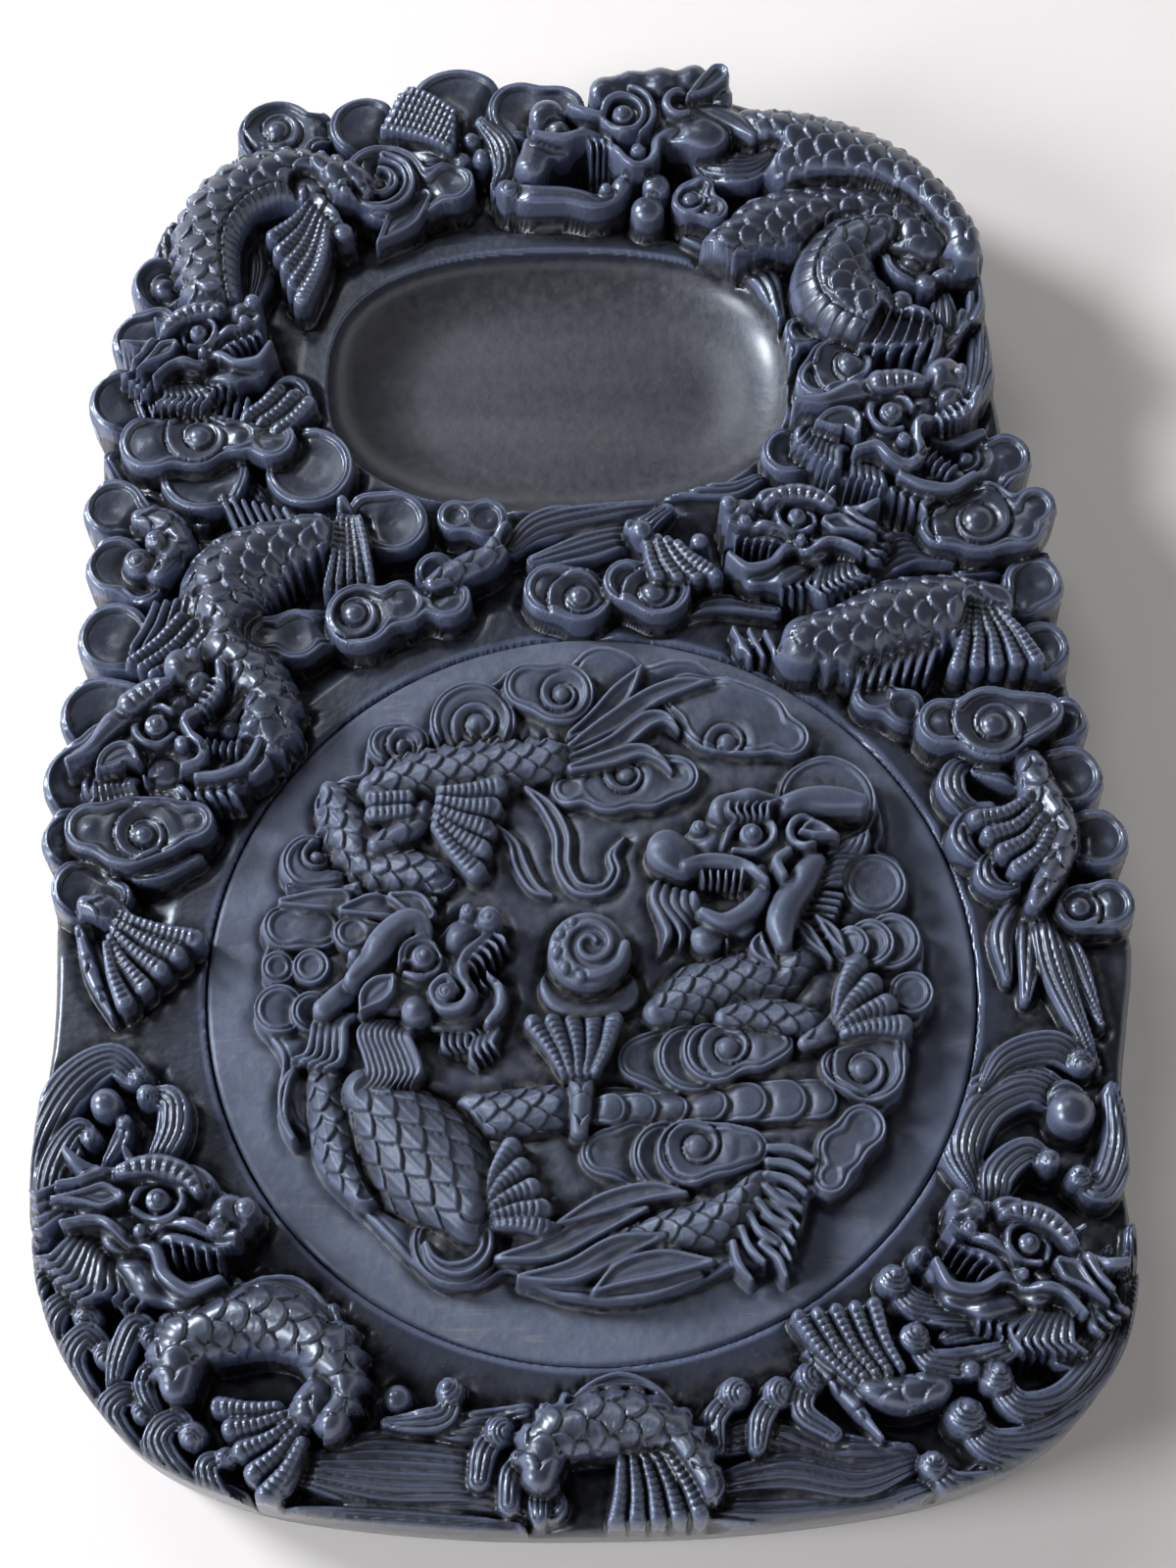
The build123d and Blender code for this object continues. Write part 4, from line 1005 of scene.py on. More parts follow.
lidUpper = dict(
    clouds=[
        ([(-37, -5, 4.2), (-33, -4.5, 3.6)], 30.2, [(-34.5, -5.5, 1.2, 1)]),
        ([(-46, -17, 4.8), (-45, -20, 4)], 30.0),
        ([(-21.5, -0.5, 8.2)], 30.6, [(-20.5, -1, 1.9, -1)]),
        ([(-11, 6.5, 4.8), (-5, 5, 6.4)], 31.2, [(-4.8, 4.6, 1.5, 1)]),
        ([(-51, -28.5, 5.6), (-47, -30, 3.5)], 30.2, [(-50, -27.5, 1.1, 1)]),
        ([(-55, -41, 4.6), (-49.5, -41, 4.6)], 30.4),
        ([(-43, -42.5, 3.8), (-38.5, -43.5, 3)], 31.0),
        ([(-56.5, -49, 3.2)], 30.0),
        ([(-50.5, -49, 3.5)], 30.6),
        ([(-56, -57, 4.8)], 30.0),
        ([(-50, -57.5, 4.0)], 30.6),
        ([(44, -18, 9.3)], 29.9),
        ([(52, -34.5, 5.9)], 29.9),
        ([(57.5, -55.5, 4.2)], 29.8),
        ([(54.5, -45.5, 5.4)], 30.2),
        ([(50.5, -45.8, 4.6)], 31.0),
        ([(47, -46, 3.6)], 31.6),
        ([(19, 4, 5), (25, 0, 8), (31, -1.5, 7), (37.5, -5, 4)], 31.0, [(26, -5.6, 1.7, -1)]),
        ([(-3.5, -14.5, 3.6), (4, -13.5, 6.2), (11, -13, 6), (16.5, -12.5, 4.2)], 31.2, [(7, -12, 1.6, 1)]),
    ],
    strands=[
        ([(-55, -33, 1), (-46, -32.5, 2), (-38, -33.5, 2.6), (-29, -36, 1.4)], 31.4, 3),
        (arc(43, -22.5, 6.2, 25, -105, (2.4, 3.2, 2.0)), 33.0, 5),
        ([(42, -32.5, 2.2), (46.5, -31, 3.2), (51, -31.3, 2.4), (54, -33.5, 0.6)], 32.6, 5),
        ([(-12, -107, 0.8), (-3, -109, 1.6), (8, -109.3, 1.6), (18, -106.5, 0.8)], 29.8, 2),
    ],
    leaves=[
        ([(-3, -3.5, 1), (2, 0, 2.0), (6.5, 5, 2.2), (10.5, 10.5, 0.4)], 31.4),
        ([(-3, -6, 1), (4, -1.5, 2.0), (12, 4, 2.0), (18, 6.3, 1.7), (23.5, 7, 0.4)], 31.8),
        ([(-3, -8.5, 1), (5, -5.5, 1.9), (11, -1, 1.9), (14.5, -0.5, 1.3), (17, -3, 0.4)], 31.6),
        ([(-3, -10.5, 1), (4, -8.6, 1.7), (9.5, -7, 1.5), (13, -8.5, 1), (15.5, -11.5, 0.4)], 32.0),
        ([(-56, -36.3, 1), (-50, -36, 2.0), (-45.5, -36, 2.2)], 30.8),
        ([(-45, -38, 1), (-40, -37.2, 2.4), (-36, -37.5, 2.4)], 31.2),
        ([(-36, -35.5, 1), (-32, -37, 2.4), (-29.5, -39, 1.6)], 31.8),
        ([(-11.5, -14.5, 0.7), (-7.5, -18.5, 1.5), (-5.0, -24, 1.7), (-4.8, -30, 1.6), (-2.2, -34.5, 1.5),
          (2.5, -34.8, 1.3), (4.8, -31.5, 1.2), (4.2, -28, 1.0), (6.6, -24.6, 0.3)], 30.2),
        ([(-17, -22, 0.5), (-14, -25.5, 1.2), (-12.6, -30, 1.5), (-10.2, -34.3, 1.3), (-7, -36, 0.6)], 30.0),
        ([(11, -38, 0.3), (13, -41.5, 1.0), (13.3, -45, 0.8), (12.4, -48, 0.3)], 29.9),
        ([(18.5, -40, 0.3), (18, -43, 0.9), (18.8, -46, 0.3)], 29.9),
    ],
    coils=[
        ([(-48, -14, 2), (-45, -19, 5), (-41, -24.5, 6.5), (-35, -29, 5.2), (-28, -31, 3)],
         32.0, -1, 0, *leafScales),
        ([(-40, -13.5, 3), (-33, -11.5, 5.0), (-24, -9.8, 5.4), (-14, -8.8, 4.8), (-4.5, -7.5, 3.2)],
         33.0, 1, 0, *leafScales),
    ],
    limbs=[([(-39, -25, 2), (-34, -22, 2.6), (-30.5, -18.5, 2.8)], 32.8)],
    claws=[
        (((-27.5, -14.5), (-28.5, -21.5)), ((-17, -13.6), (-20.8, -30.5)), 5, 33.4, -0.04),
        (((-40, -16), (-40, -19)), ((-33.5, -15.6), (-33.5, -18.4)), 2, 33.6, 0),
    ],
)

lidHeads = dict(
    heads=[(lidHead, -30.4, -46.9, 31.7, 1.0, 1, 37.0)],
    fins=[
        (((38, -35), (37.5, -45)), ((46, -36.5), (42, -46)), 8, 31.6, 0.9, 0.0),
    ],
    leaves=[([(37, -40, 0.4), (39.5, -44, 1.5), (43.5, -49, 0.4)], 31.6),
            ([(41, -40.5, 0.4), (44, -44, 1.4), (46, -48, 0.4)], 31.4),
            ([(31, -43, 0.4), (30.5, -46.5, 1.8), (33.5, -50.5, 0.4)], 31.8)],
)

# The face of the dragon at the far right, which looks at the pearl with its mouth open
lidFarFace = dict(
    beards=[(((12.5, -33.5), (19, -36)), ((13.5, -46), (25, -45.5)), 5, 31.4, 1.15, 0.9)],
    mounds=[
        ([(30, -32, 3), (31, -36, 2.6), (27.5, -40.5, 3), (21, -44, 3)], 32.4),
        ([(20, -26.5, 4.2), (25, -24.5, 5.4), (31, -23.5, 6.2), (36.5, -24, 5.6), (30, -27.5, 4.6)], 34.6),
        ([(25.5, -18.8, 3.4), (30, -17.6, 3.4), (35, -18.6, 3.2)], 36.0),
        ([(14.3, -26.3, 3.9), (17.3, -28.3, 3.0)], 36.2),
    ],
    hollows=[([(24.5, -35.5, 3.0), (21.5, -34.2, 2.2), (26.2, -37.8, 2.0)], 27.8)],
    tubes=[
        ([(41, -29.3, 2.4), (38.8, -33, 2.9), (36, -37, 3.0), (34.8, -41, 2.8), (35, -45.2, 1.6)], 34.4),
        ([(31.4, -30.6, 1.4), (31.6, -35, 1.6), (29, -38.6, 1.8), (24.5, -41, 1.6), (20.5, -39.4, 1.0)],
         33.4),
        ([(36.5, -18, 2.0), (41, -16.9, 2.5), (46, -17, 2.6), (50.2, -17.8, 1.9)], 36.6),
        (arc(39.8, -23.6, 2.8, 55, 305, (0.6, 0.95, 0.6)), 35.8),
        ([(24.6, -26.4, 0.4), (26.4, -22.6, 0.8), (29.8, -20.6, 0.9), (33.2, -21.6, 0.9), (33.8, -24.6, 0.8),
          (30.8, -26.9, 0.8), (26.4, -27, 0.5)], 35.9),
        ([(17.6, -30.2, 1.0), (21, -29, 1.2), (25.5, -29.2, 1.2), (29, -30.4, 1.1), (32.4, -33.2, 0.6)],
         35.4),
        ([(36.5, -27.5, 0.9), (34.4, -29.4, 1.1), (35.4, -32.2, 1.0)], 35.2),
    ],
    teeth=[(((20.6, -31.2), (28, -31.6)), ((20.9, -33), (27.6, -33.6)), 6, 34.2, 0.62, 0.0),
           (((27.2, -20.4), (33, -20.2)), ((26, -17.6), (35, -17.4)), 6, 37.0, 0.6, 0.25)],
    leaves=[([(38.8, -23.8, 0.4), (41.6, -23.2, 1.7), (46, -24.6, 0.3)], 35.8)],
    knobs=[(29.9, -23.8, 2.3, 36.6, 0), (30.2, -23.7, 0.9, 37.0, 0), (20.2, -22.6, 1.6, 35.2, -1)],
)

lidLower = dict(
    clouds=[
        ([(-24, -100, 7.8)], 29.8),
        ([(49.5, -69.5, 6.4), (44.5, -69, 4), (53, -65, 3)], 30.6, [(48.2, -69.8, 2.1, 1)]),
        ([(47.5, -80.5, 4.3), (43.5, -84.5, 4.5), (41.5, -89.5, 3.2)], 29.9),
        ([(8.5, -67.5, 4.2), (14, -67.5, 6.6)], 30.4),
        ([(18, -67, 6.6)], 31.2),
        ([(22, -66, 6), (29, -65, 4.8), (33, -64.3, 3.2)], 32.0, [(24.3, -65.3, 2.0, -1)]),
        ([(2, -84.5, 4.4), (8, -84.5, 6.2)], 30.2),
        ([(13, -85, 6.3)], 30.9),
        ([(17, -84.5, 6), (23, -84, 4.8), (27.5, -83.8, 3.4)], 31.7, [(18.3, -83.4, 2.1, -1)]),
    ],
    tongues=[(43.5, -75.2, 3.8), (38, -75.4, 3.9), (31, -75.4, 3.7), (24, -75.8, 3.3), (17, -76.3, 3.0),
             (11.5, -76.4, 2.9), (6, -76.4, 2.8)],
    leaves=[
        ([(-17, -103, 0.8), (-8, -101.5, 2.2), (0, -97.5, 2.4), (9, -94.5, 0.7)], 31.0),
        ([(-13, -106.5, 0.8), (-4, -105.5, 2.2), (4, -101.5, 2.4), (12, -99.5, 0.7)], 31.4),
        ([(-6, -97, 0.8), (2, -93.5, 2.0), (10, -91.5, 1.8), (16, -92, 0.6)], 30.8),
        ([(0, -109, 0.7), (5, -106, 2.4), (12, -104.4, 2.6), (20, -104.2, 0.8)], 31.0),
        (arc(-24, -99.5, 5.4, -170, 10, (0.7, 1.5, 1.2)), 31.0),
        (arc(-43.5, -74.5, 11.5, 125, 215, (0.4, 1.1, 0.8)), 29.9),
    ],
    fins=[(((31, -84), (29, -101)), ((38.5, -86), (33, -107)), 8, 31.0, 1.2, 0.1),
          (((30, -91), (24, -101)), ((36, -95), (27, -107.5)), 5, 30.6, 1.1, -0.1)],
    coils=[
        ([(-48, -68, 3), (-46, -76, 5), (-44, -84, 5), (-40, -91, 3)], 31.2, 0, 0, *leafScales),
        ([(4, -100, 2), (13, -98.5, 4.2), (23, -96, 4.6), (30, -90, 3)], 31.6, 0, 0, *leafScales),
        ([(12, -58, 3), (20, -54, 6.5), (30, -52, 7), (38, -47, 4)], 31.8, 0, 0, *leafScales),
        ([(24, -59.5, 2), (32, -59, 3.4), (40, -61, 3)], 32.0, 0, 0, *leafScales),
        ([(-22, -76, 3), (-14, -76.5, 4.8), (-5, -75, 4.2)], 32.0, 0, 0, *leafScales),
        ([(-40, -72, 5), (-34, -79, 10), (-28, -86, 11), (-21, -94, 6)], 34.2, 0, 0, 4.0, 1.3, 0.6),
    ],
    limbs=[([(-2.5, -80, 1.6), (-2, -75, 2), (-2, -70, 2.4)], 33),
           ([(38, -64.5, 1.4), (42, -62.5, 2), (45, -59.5, 2.4)], 32.2)],
    claws=[
        (((-18.5, -91.5), (-17.5, -97)), ((-14.5, -83), (-7.5, -98)), 5, 33.2, 0.06),
        (((-5, -69.5), (0.5, -69.5)), ((-10.5, -60), (4, -59)), 5, 33.4, -0.03),
        (((44, -59.5), (45, -63)), ((48, -49.5), (55.5, -61.5)), 4, 32.6, 0.05),
    ],
)

pearl = dict(centre=(-0.5, -46.0), radius=7.4, top=36.0, edge=2.6, drop=3.2, foot=31.5, spiralTurns=1.9,
             spiralPoints=22, beads=5, beadRing=5.6)


def carvePearl(carver):
    x0, y0 = pearl["centre"]
    foot = [(x0, y0 - 6, 8), (x0 - 5, y0 - 8, 3.5), (x0 + 6, y0 - 9, 3)]
    carver.mound(foot, pearl["foot"] - 1.0, 2.0, 1.4, 1.5)
    carver.mound([(x0, y0, pearl["radius"])], pearl["top"], pearl["edge"], pearl["drop"], 2.5)
    spiral = []
    for k in range(pearl["spiralPoints"]):
        turn = k / (pearl["spiralPoints"] - 1)
        angle = 2 * math.pi * pearl["spiralTurns"] * turn + 0.6
        r = 1.0 + 5.2 * turn
        spiral.append((x0 + 0.6 + r * math.cos(angle), y0 + 0.6 + r * math.sin(angle), 0.55 + 0.55 * turn))
    carver.tube(spiral, pearl["top"] + 0.8, None, 0.8, 0, 0.5)
    for k in range(pearl["beads"]):
        angle = math.radians(120 + 34 * k)
        x, y = x0 + pearl["beadRing"] * math.cos(angle), y0 + pearl["beadRing"] * math.sin(angle)
        carver.knob(x, y, 1.1, pearl["top"] + 0.4, 0.9, 0.3)


def carveTongues(carver, places):
    # overlapping rounded tongues, laid from the far one inwards, each a little higher
    for k, (x, y, r) in enumerate(places):
        carver.tongue([(1, y, r * 0.9), (max(x - r, 1.5), y, r)], 29.9 + 0.35 * k)


def carveLid():
    relief = Relief((-72, -122), (72, 22), grid["step"] * 0.8, lid["rim"])
    x, y = relief.everywhere()
    inside = insideBank(x, y)
    rise = ease(inside, -0.35, 0.35)
    bank = lid["bank"] - 0.8 * (1 - roundOff(inside, 0.8)) - 0.35 * furrow(inside, 1.5, 0.3)
    relief.height[:] = relief.height * (1 - rise) + bank * rise
    relief.height[:] = relief.height - 0.5 * np.exp(-(np.clip(-inside, 0, None) / 1.2) ** 2) * (inside < 0)
    carver = Carver(relief)
    carveRegion(carver, lidUpper, lid["cloudStyle"])
    carveTongues(carver, lidLower["tongues"])
    carveRegion(carver, lidLower, lid["cloudStyle"])
    carveRegion(carver, lidHeads)
    carveRegion(carver, lidFarFace)
    carvePearl(carver)
    return relief


# Meshes

def trimmedTop(relief, insideOf, edge):
    # the grid cut to the outline: whole cells inside it, with the outer corners moved onto it
    x, y = relief.everywhere()
    inside = insideOf(x, y)
    held = inside > 0
    cell = held[:-1, :-1] & held[:-1, 1:] & held[1:, :-1] & held[1:, 1:]
    used = np.zeros(held.shape, bool)
    for rows in (slice(0, -1), slice(1, None)):
        for columns in (slice(0, -1), slice(1, None)):
            used[rows, columns] |= cell
    index = np.full(held.shape, -1)
    index[used] = np.arange(used.sum())
    a, b, c, d = index[:-1, :-1], index[:-1, 1:], index[1:, 1:], index[1:, :-1]
    quads = np.stack([a[cell], b[cell], c[cell], d[cell]], 1)
    padded = np.pad(cell, 1)
    follow = np.full(used.sum(), -1)
    sides = ((a, b, padded[:-2, 1:-1]), (b, c, padded[1:-1, 2:]),
             (c, d, padded[2:, 1:-1]), (d, a, padded[1:-1, :-2]))
    for start, end, beyond in sides:
        outer = cell & ~beyond
        follow[start[outer]] = end[outer]
    first = int(np.flatnonzero(follow >= 0)[0])
    loop = [first]
    while follow[loop[-1]] != first:
        loop.append(int(follow[loop[-1]]))
    loop = np.array(loop)
    place = np.stack([x[used], y[used]], 1)
    step = relief.step * 0.1
    for sweep in range(3):
        px, py = place[loop, 0], place[loop, 1]
        here = insideOf(px, py)
        gx = (insideOf(px + step, py) - insideOf(px - step, py)) / (2 * step)
        gy = (insideOf(px, py + step) - insideOf(px, py - step)) / (2 * step)
        slope = np.maximum(gx * gx + gy * gy, 0.2)
        place[loop, 0] -= here * gx / slope
        place[loop, 1] -= here * gy / slope
    depth = np.maximum(inside[used], 0)
    depth[loop] = 0
    level = relief.height[used] - edge * (1 - roundOff(depth, edge))
    return place, level, quads, loop, used


def closedMesh(name, top, quads, loop, rings, attributes):
    # the carved top, then each ring of the wall, then the flat underside as one face
    count, held = len(loop), len(top)
    points = np.vstack([top] + rings)
    faces = [quads]
    previous = loop
    for k in range(len(rings)):
        here = np.arange(held + k * count, held + (k + 1) * count)
        faces.append(np.stack([np.roll(previous, -1), previous, here, np.roll(here, -1)], 1))
        previous = here
    quadCount = sum(len(f) for f in faces)
    corners = np.concatenate([np.vstack(faces).ravel(), previous[::-1]])
    mesh = bpy.data.meshes.new(name)
    mesh.vertices.add(len(points))
    mesh.vertices.foreach_set("co", (points * mm).astype(np.float32).ravel())
    mesh.loops.add(len(corners))
    mesh.loops.foreach_set("vertex_index", corners.astype(np.int32))
    mesh.polygons.add(quadCount + 1)
    starts = np.append(np.arange(quadCount) * 4, quadCount * 4)
    mesh.polygons.foreach_set("loop_start", starts.astype(np.int32))
    mesh.update(calc_edges=True)
    mesh.polygons.foreach_set("use_smooth", np.append(np.ones(quadCount, bool), False))
    for key, values in attributes.items():
        layer = mesh.attributes.new(key, "FLOAT", "POINT")
        full = np.append(values, np.zeros(len(points) - held))
        layer.data.foreach_set("value", full.astype(np.float32))
    # the map: the top on the left, the underside and the unrolled wall on the right
    low = top.min(0)[:2]
    span = (top.max(0)[:2] - low).max()
    wide = sheetRoom["top"] * (top.max(0)[0] - low[0]) / span
    flatTop = (points[quads.ravel()][:, :2] - low) / span * sheetRoom["top"] + sheetRoom["margin"]
    n = np.arange(count)
    across, down = [], []
    for k in range(len(rings)):
        across.append(np.stack([n + 1, n, n, n + 1], 1).ravel() / count)
        down.append(np.tile([k, k, k + 1, k + 1], count) / len(rings))
    left = wide + 2 * sheetRoom["margin"]
    room = 1 - left - sheetRoom["margin"]
    unrolled = np.stack([left + room * np.concatenate(down), 0.5 + 0.48 * np.concatenate(across)], 1)
    baseScale = min(room * span / (top.max(0)[0] - low[0]), 0.46)
    flatBase = (points[previous[::-1]][:, :2] - low) / span * baseScale
    flatBase = flatBase + (left, sheetRoom["margin"])
    layer = mesh.uv_layers.new(name="OFBake")
    layer.data.foreach_set("uv", np.vstack([flatTop, unrolled, flatBase]).astype(np.float32).ravel())
    piece = bpy.data.objects.new(name, mesh)
    bpy.context.scene.collection.objects.link(piece)
    return piece


sheetRoom = dict(top=0.95, margin=0.015)


def stoneRings(place, level):
    turn = np.arctan2(place[:, 1], place[:, 0])
    rings = []
    for t in outline["wallSteps"]:
        z = level * (1 - t)
        high = ease(z, outline["smoothTo"], outline["smoothFrom"])
        r = wallRadius(turn) - outline["lean"] * (1 - z / body["field"])
        r = r - outline["bevel"] * (1 - roundOff(z, outline["bevel"]))
        x = place[:, 0] * high + r * np.cos(turn) * (1 - high)
        y = place[:, 1] * high + r * np.sin(turn) * (1 - high)
        rings.append(np.stack([x, y, z], 1))
    return rings


def lidRings(place):
    fromCentre = place - lid["centre"]
    unit = fromCentre / np.hypot(fromCentre[:, 0], fromCentre[:, 1])[:, None]
    r, plug, ledge, base = lid["radius"], lid["plugRadius"], lid["ledge"], lid["plug"]
    steps = [(r, 21.0), (r, ledge + 0.4), (r - 0.4, ledge), (r - 5, ledge), (plug + 0.4, ledge),
             (plug, ledge - 0.4), (plug, base + 0.4), (plug - 0.4, base)]
    return [np.column_stack([lid["centre"] + unit * radius, np.full(len(place), z)]) for radius, z in steps]


def toneMaps(relief, used):
    # how far each point stands over its near and its wider surroundings, in millimetres
    maps = {}
    for key, reach in (("crease", 0.7), ("cavity", 3.0)):
        maps[key] = (relief.height - smooth(relief.height, max(1, int(reach / relief.step))))[used]
    return maps


stoneRelief = carveBody()
print("stone carved")
place, level, quads, loop, used = trimmedTop(stoneRelief, insideStone, outline["edge"])
fromLid = place - body["lidCentre"]
gap = np.hypot(fromLid[:, 0], fromLid[:, 1])
onSeat = np.abs(gap - body["seatRadius"]) < grid["step"] / 2
place[onSeat] = body["lidCentre"] + fromLid[onSeat] / gap[onSeat][:, None] * body["seatRadius"]
stoneTop = np.column_stack([place, level])
tones = toneMaps(stoneRelief, used)
tones["patina"] = ease(insidePool(place[:, 0], place[:, 1]), 0.0, 2.5)
inWell = body["wellRadius"] - np.hypot(place[:, 0], place[:, 1] - body["lidCentre"][1])
tones["patina"] += ease(inWell, 0.0, 2.5)
carvedStone = closedMesh("carvedStone", stoneTop, quads, loop, stoneRings(place[loop], level[loop]), tones)
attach(carvedStone, "stone_body")
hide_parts("stone_body")
print("stone meshed", len(carvedStone.data.vertices))

lidRelief = carveLid()
place, level, quads, loop, used = trimmedTop(lidRelief, insideLid, lid["edge"])
tones = toneMaps(lidRelief, used)
tones["patina"] = 1 - ease(insideBank(place[:, 0], place[:, 1]), -0.8, 0.0)
lidTop = np.column_stack([place, level])
carvedLid = closedMesh("carvedLid", lidTop, quads, loop, lidRings(place[loop]), tones)
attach(carvedLid, "lid")
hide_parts("lid")
print("lid meshed", len(carvedLid.data.vertices))


# Materials

class Wire:
    # one socket's value, so that shader maths reads as plain sums
    def __init__(self, nodes, socket):
        self.nodes, self.socket = nodes, socket

    def maths(self, operation, a, b=None):
        values = {0: a} if b is None else {0: a, 1: b}
        return self.nodes.make("ShaderNodeMath", dict(operation=operation), values).out(0)

    def __add__(self, other):
        return self.maths("ADD", self, other)

    def __radd__(self, other):
        return self.maths("ADD", other, self)

    def __sub__(self, other):
        return self.maths("SUBTRACT", self, other)

    def __rsub__(self, other):
        return self.maths("SUBTRACT", other, self)

    def __mul__(self, other):
        return self.maths("MULTIPLY", self, other)

    def __rmul__(self, other):
        return self.maths("MULTIPLY", other, self)

    def __pow__(self, other):
        return self.maths("POWER", self, other)

    def size(self):
        return self.maths("ABSOLUTE", self)

    def clamp(self):
        return self.nodes.make("ShaderNodeClamp", {}, {0: self}).out(0)


class Made:
    def __init__(self, nodes, node):
        self.nodes, self.node = nodes, node

    def out(self, key=0):
        return Wire(self.nodes, self.node.outputs[key])


class Nodes:
    def __init__(self, owner):
        self.owner = owner
        owner.use_nodes = True
        self.tree = owner.node_tree
        self.tree.nodes.clear()

    def make(self, kind, settings=None, values=None):
        node = self.tree.nodes.new(kind)
        for key, value in (settings or {}).items():
            if key == "stops":
                self.setStops(node, value)
            else:
                setattr(node, key, value)
        for key, value in (values or {}).items():
            if isinstance(value, Wire):
                self.tree.links.new(value.socket, node.inputs[key])
            else:
                node.inputs[key].default_value = value
        return Made(self, node)

    def setStops(self, node, stops):
        ramp = node.color_ramp
        while len(ramp.elements) > 1:
            ramp.elements.remove(ramp.elements[-1])
        for k, (position, colour) in enumerate(stops):
            element = ramp.elements[0] if k == 0 else ramp.elements.new(position)
            element.position = position
            element.color = colour

    def attribute(self, name):
        return self.make("ShaderNodeAttribute", dict(attribute_name=name)).out("Fac")

    def noise(self, where, scale, detail):
        node = self.make("ShaderNodeTexNoise", {}, {"Vector": where, "Scale": scale, "Detail": detail})
        return node.out("Fac")

    def scaled(self, where, scale, turn=0.0):
        values = {"Vector": where, "Scale": scale, "Rotation": (0, 0, turn)}
        return self.make("ShaderNodeMapping", {}, values).out(0)

    def scratches(self, where):
        # thin broken lines in three directions
        total = 0.0
        for turn, wide in ((0.5, 300.0), (1.9, 360.0), (2.7, 420.0)):
            lines = self.noise(self.scaled(where, (wide * 0.07, wide, wide * 0.07), turn), 1.0, 1.0)
            ridge = 1.0 - (lines - 0.5).size() * 60.0
            broken = (self.noise(where, wide * 0.25, 1.0) * 8.0 - 4.6).clamp()
            total = ridge.clamp() * broken + total
        return total.clamp()

    def mixColour(self, factor, a, b):
        node = self.make("ShaderNodeMix", dict(data_type="RGBA"), {0: factor, 6: a, 7: b})
        return node.out(2)


stoneLook = dict(
    name="polishedDarkStone",
    # painted shade laid into the recesses
    paintedShade=(0.0080, 0.0082, 0.0115, 1),
    base=(0.0315, 0.0358, 0.0560, 1),
    # raised edges: partly real wear, partly a painted highlight
    worn=(0.1260, 0.1480, 0.2350, 1),
    dust=(0.1200, 0.1160, 0.1220, 1),
    dustCover=0.50,
    patina=(0.0640, 0.0620, 0.0690, 1),
    patinaDark=(0.0230, 0.0225, 0.0280, 1),
    streak=(9.0, 70.0, 30.0),
    shine=0.70,
    tint=(0.70, 0.82, 1.0, 1),
    rough=0.34,
    roughWorn=-0.10,
    roughPatina=0.10,
    roughDust=0.30,
    wax=0.55,            # thin polish over the stone
    waxRough=0.24,
    grain=0.00006,
)
lidLook = dict(
    name="mattDarkStone",
    # painted shade laid into the recesses
    paintedShade=(0.0150, 0.0160, 0.0220, 1),
    base=(0.0670, 0.0780, 0.1190, 1),
    # raised edges: partly real wear, partly a painted highlight
    worn=(0.1560, 0.1800, 0.2640, 1),
    dust=(0.2300, 0.2240, 0.2260, 1),
    dustCover=0.50,
    patina=(0.1240, 0.1450, 0.2100, 1),
    patinaDark=(0.0950, 0.1120, 0.1640, 1),
    streak=(40.0, 40.0, 40.0),
    shine=0.45,
    tint=(0.70, 0.82, 1.0, 1),
    rough=0.44,
    roughWorn=-0.06,
    roughPatina=-0.02,
    roughDust=0.25,
    wax=0.15,
    waxRough=0.40,
    grain=0.00008,
)


# scale and detail of each noise
textures = dict(cloudy=(60.0, 4.0), grain=(900.0, 3.0), fleck=(420.0, 2.0))


def stoneMaterial(look, scratched=False):
    n = Nodes(bpy.data.materials.new(look["name"]))
    where = n.make("ShaderNodeTexCoord").out("Object")
    cavity, crease, patina = n.attribute("cavity"), n.attribute("crease"), n.attribute("patina")
    cloudy, grain, fleck = (n.noise(where, *textures[key]) for key in ("cloudy", "grain", "fleck"))
    # painted shade: points lying below their wider surroundings are darkened towards the darkest colour
    shadeInRecess = (0.42 - cavity * 0.42).clamp()
    # points standing over their near surroundings are lightened, partly as real wear and partly as a painted
    # highlight; the same mask lowers the roughness there
    wearAndHighlight = (crease * 1.6 - 0.15 + (cloudy - 0.5) * 0.8).clamp()
    colour = n.mixColour(shadeInRecess ** 1.2, look["base"], look["paintedShade"])
    colour = n.mixColour(wearAndHighlight * 0.8, colour, look["worn"])
    streaks = n.noise(n.scaled(where, look["streak"]), 1.0, 5.0)
    bare = n.mixColour((streaks * 2.6 - 0.8).clamp(), look["patinaDark"], look["patina"])
    colour = n.mixColour(patina, colour, bare)
    settled = (0.30 - crease * 1.1 - cavity * 0.26).clamp() * (fleck * 3.4 - 1.25).clamp()
    specks = (grain * 9.0 - 5.9).clamp()
    dusty = (settled + specks * 0.5).clamp() * look["dustCover"]
    colour = n.mixColour(dusty, colour, look["dust"])
    if scratched:
        lines = n.scratches(where) * patina
        colour = n.mixColour(lines * 0.55, colour, look["dust"])
    rough = wearAndHighlight * look["roughWorn"] + look["rough"] + patina * look["roughPatina"]
    rough = rough + dusty * look["roughDust"] + (cloudy - 0.5) * 0.16
    raised = {"Strength": 1.0, "Distance": look["grain"], "Height": grain + fleck * 2.0}
    bump = n.make("ShaderNodeBump", {}, raised)
    values = {"Base Color": colour, "Roughness": rough, "Normal": bump.out("Normal"),
              "Coat Weight": look["wax"], "Coat Roughness": look["waxRough"],
              "Specular IOR Level": look["shine"], "Specular Tint": look["tint"]}
    shader = n.make("ShaderNodeBsdfPrincipled", {}, values)
    n.make("ShaderNodeOutputMaterial", {}, {"Surface": shader.out(0)})
    return n.owner


carvedStone.data.materials.append(stoneMaterial(stoneLook))
carvedLid.data.materials.append(stoneMaterial(lidLook, True))
print("stone finished")


# Floor, light and camera

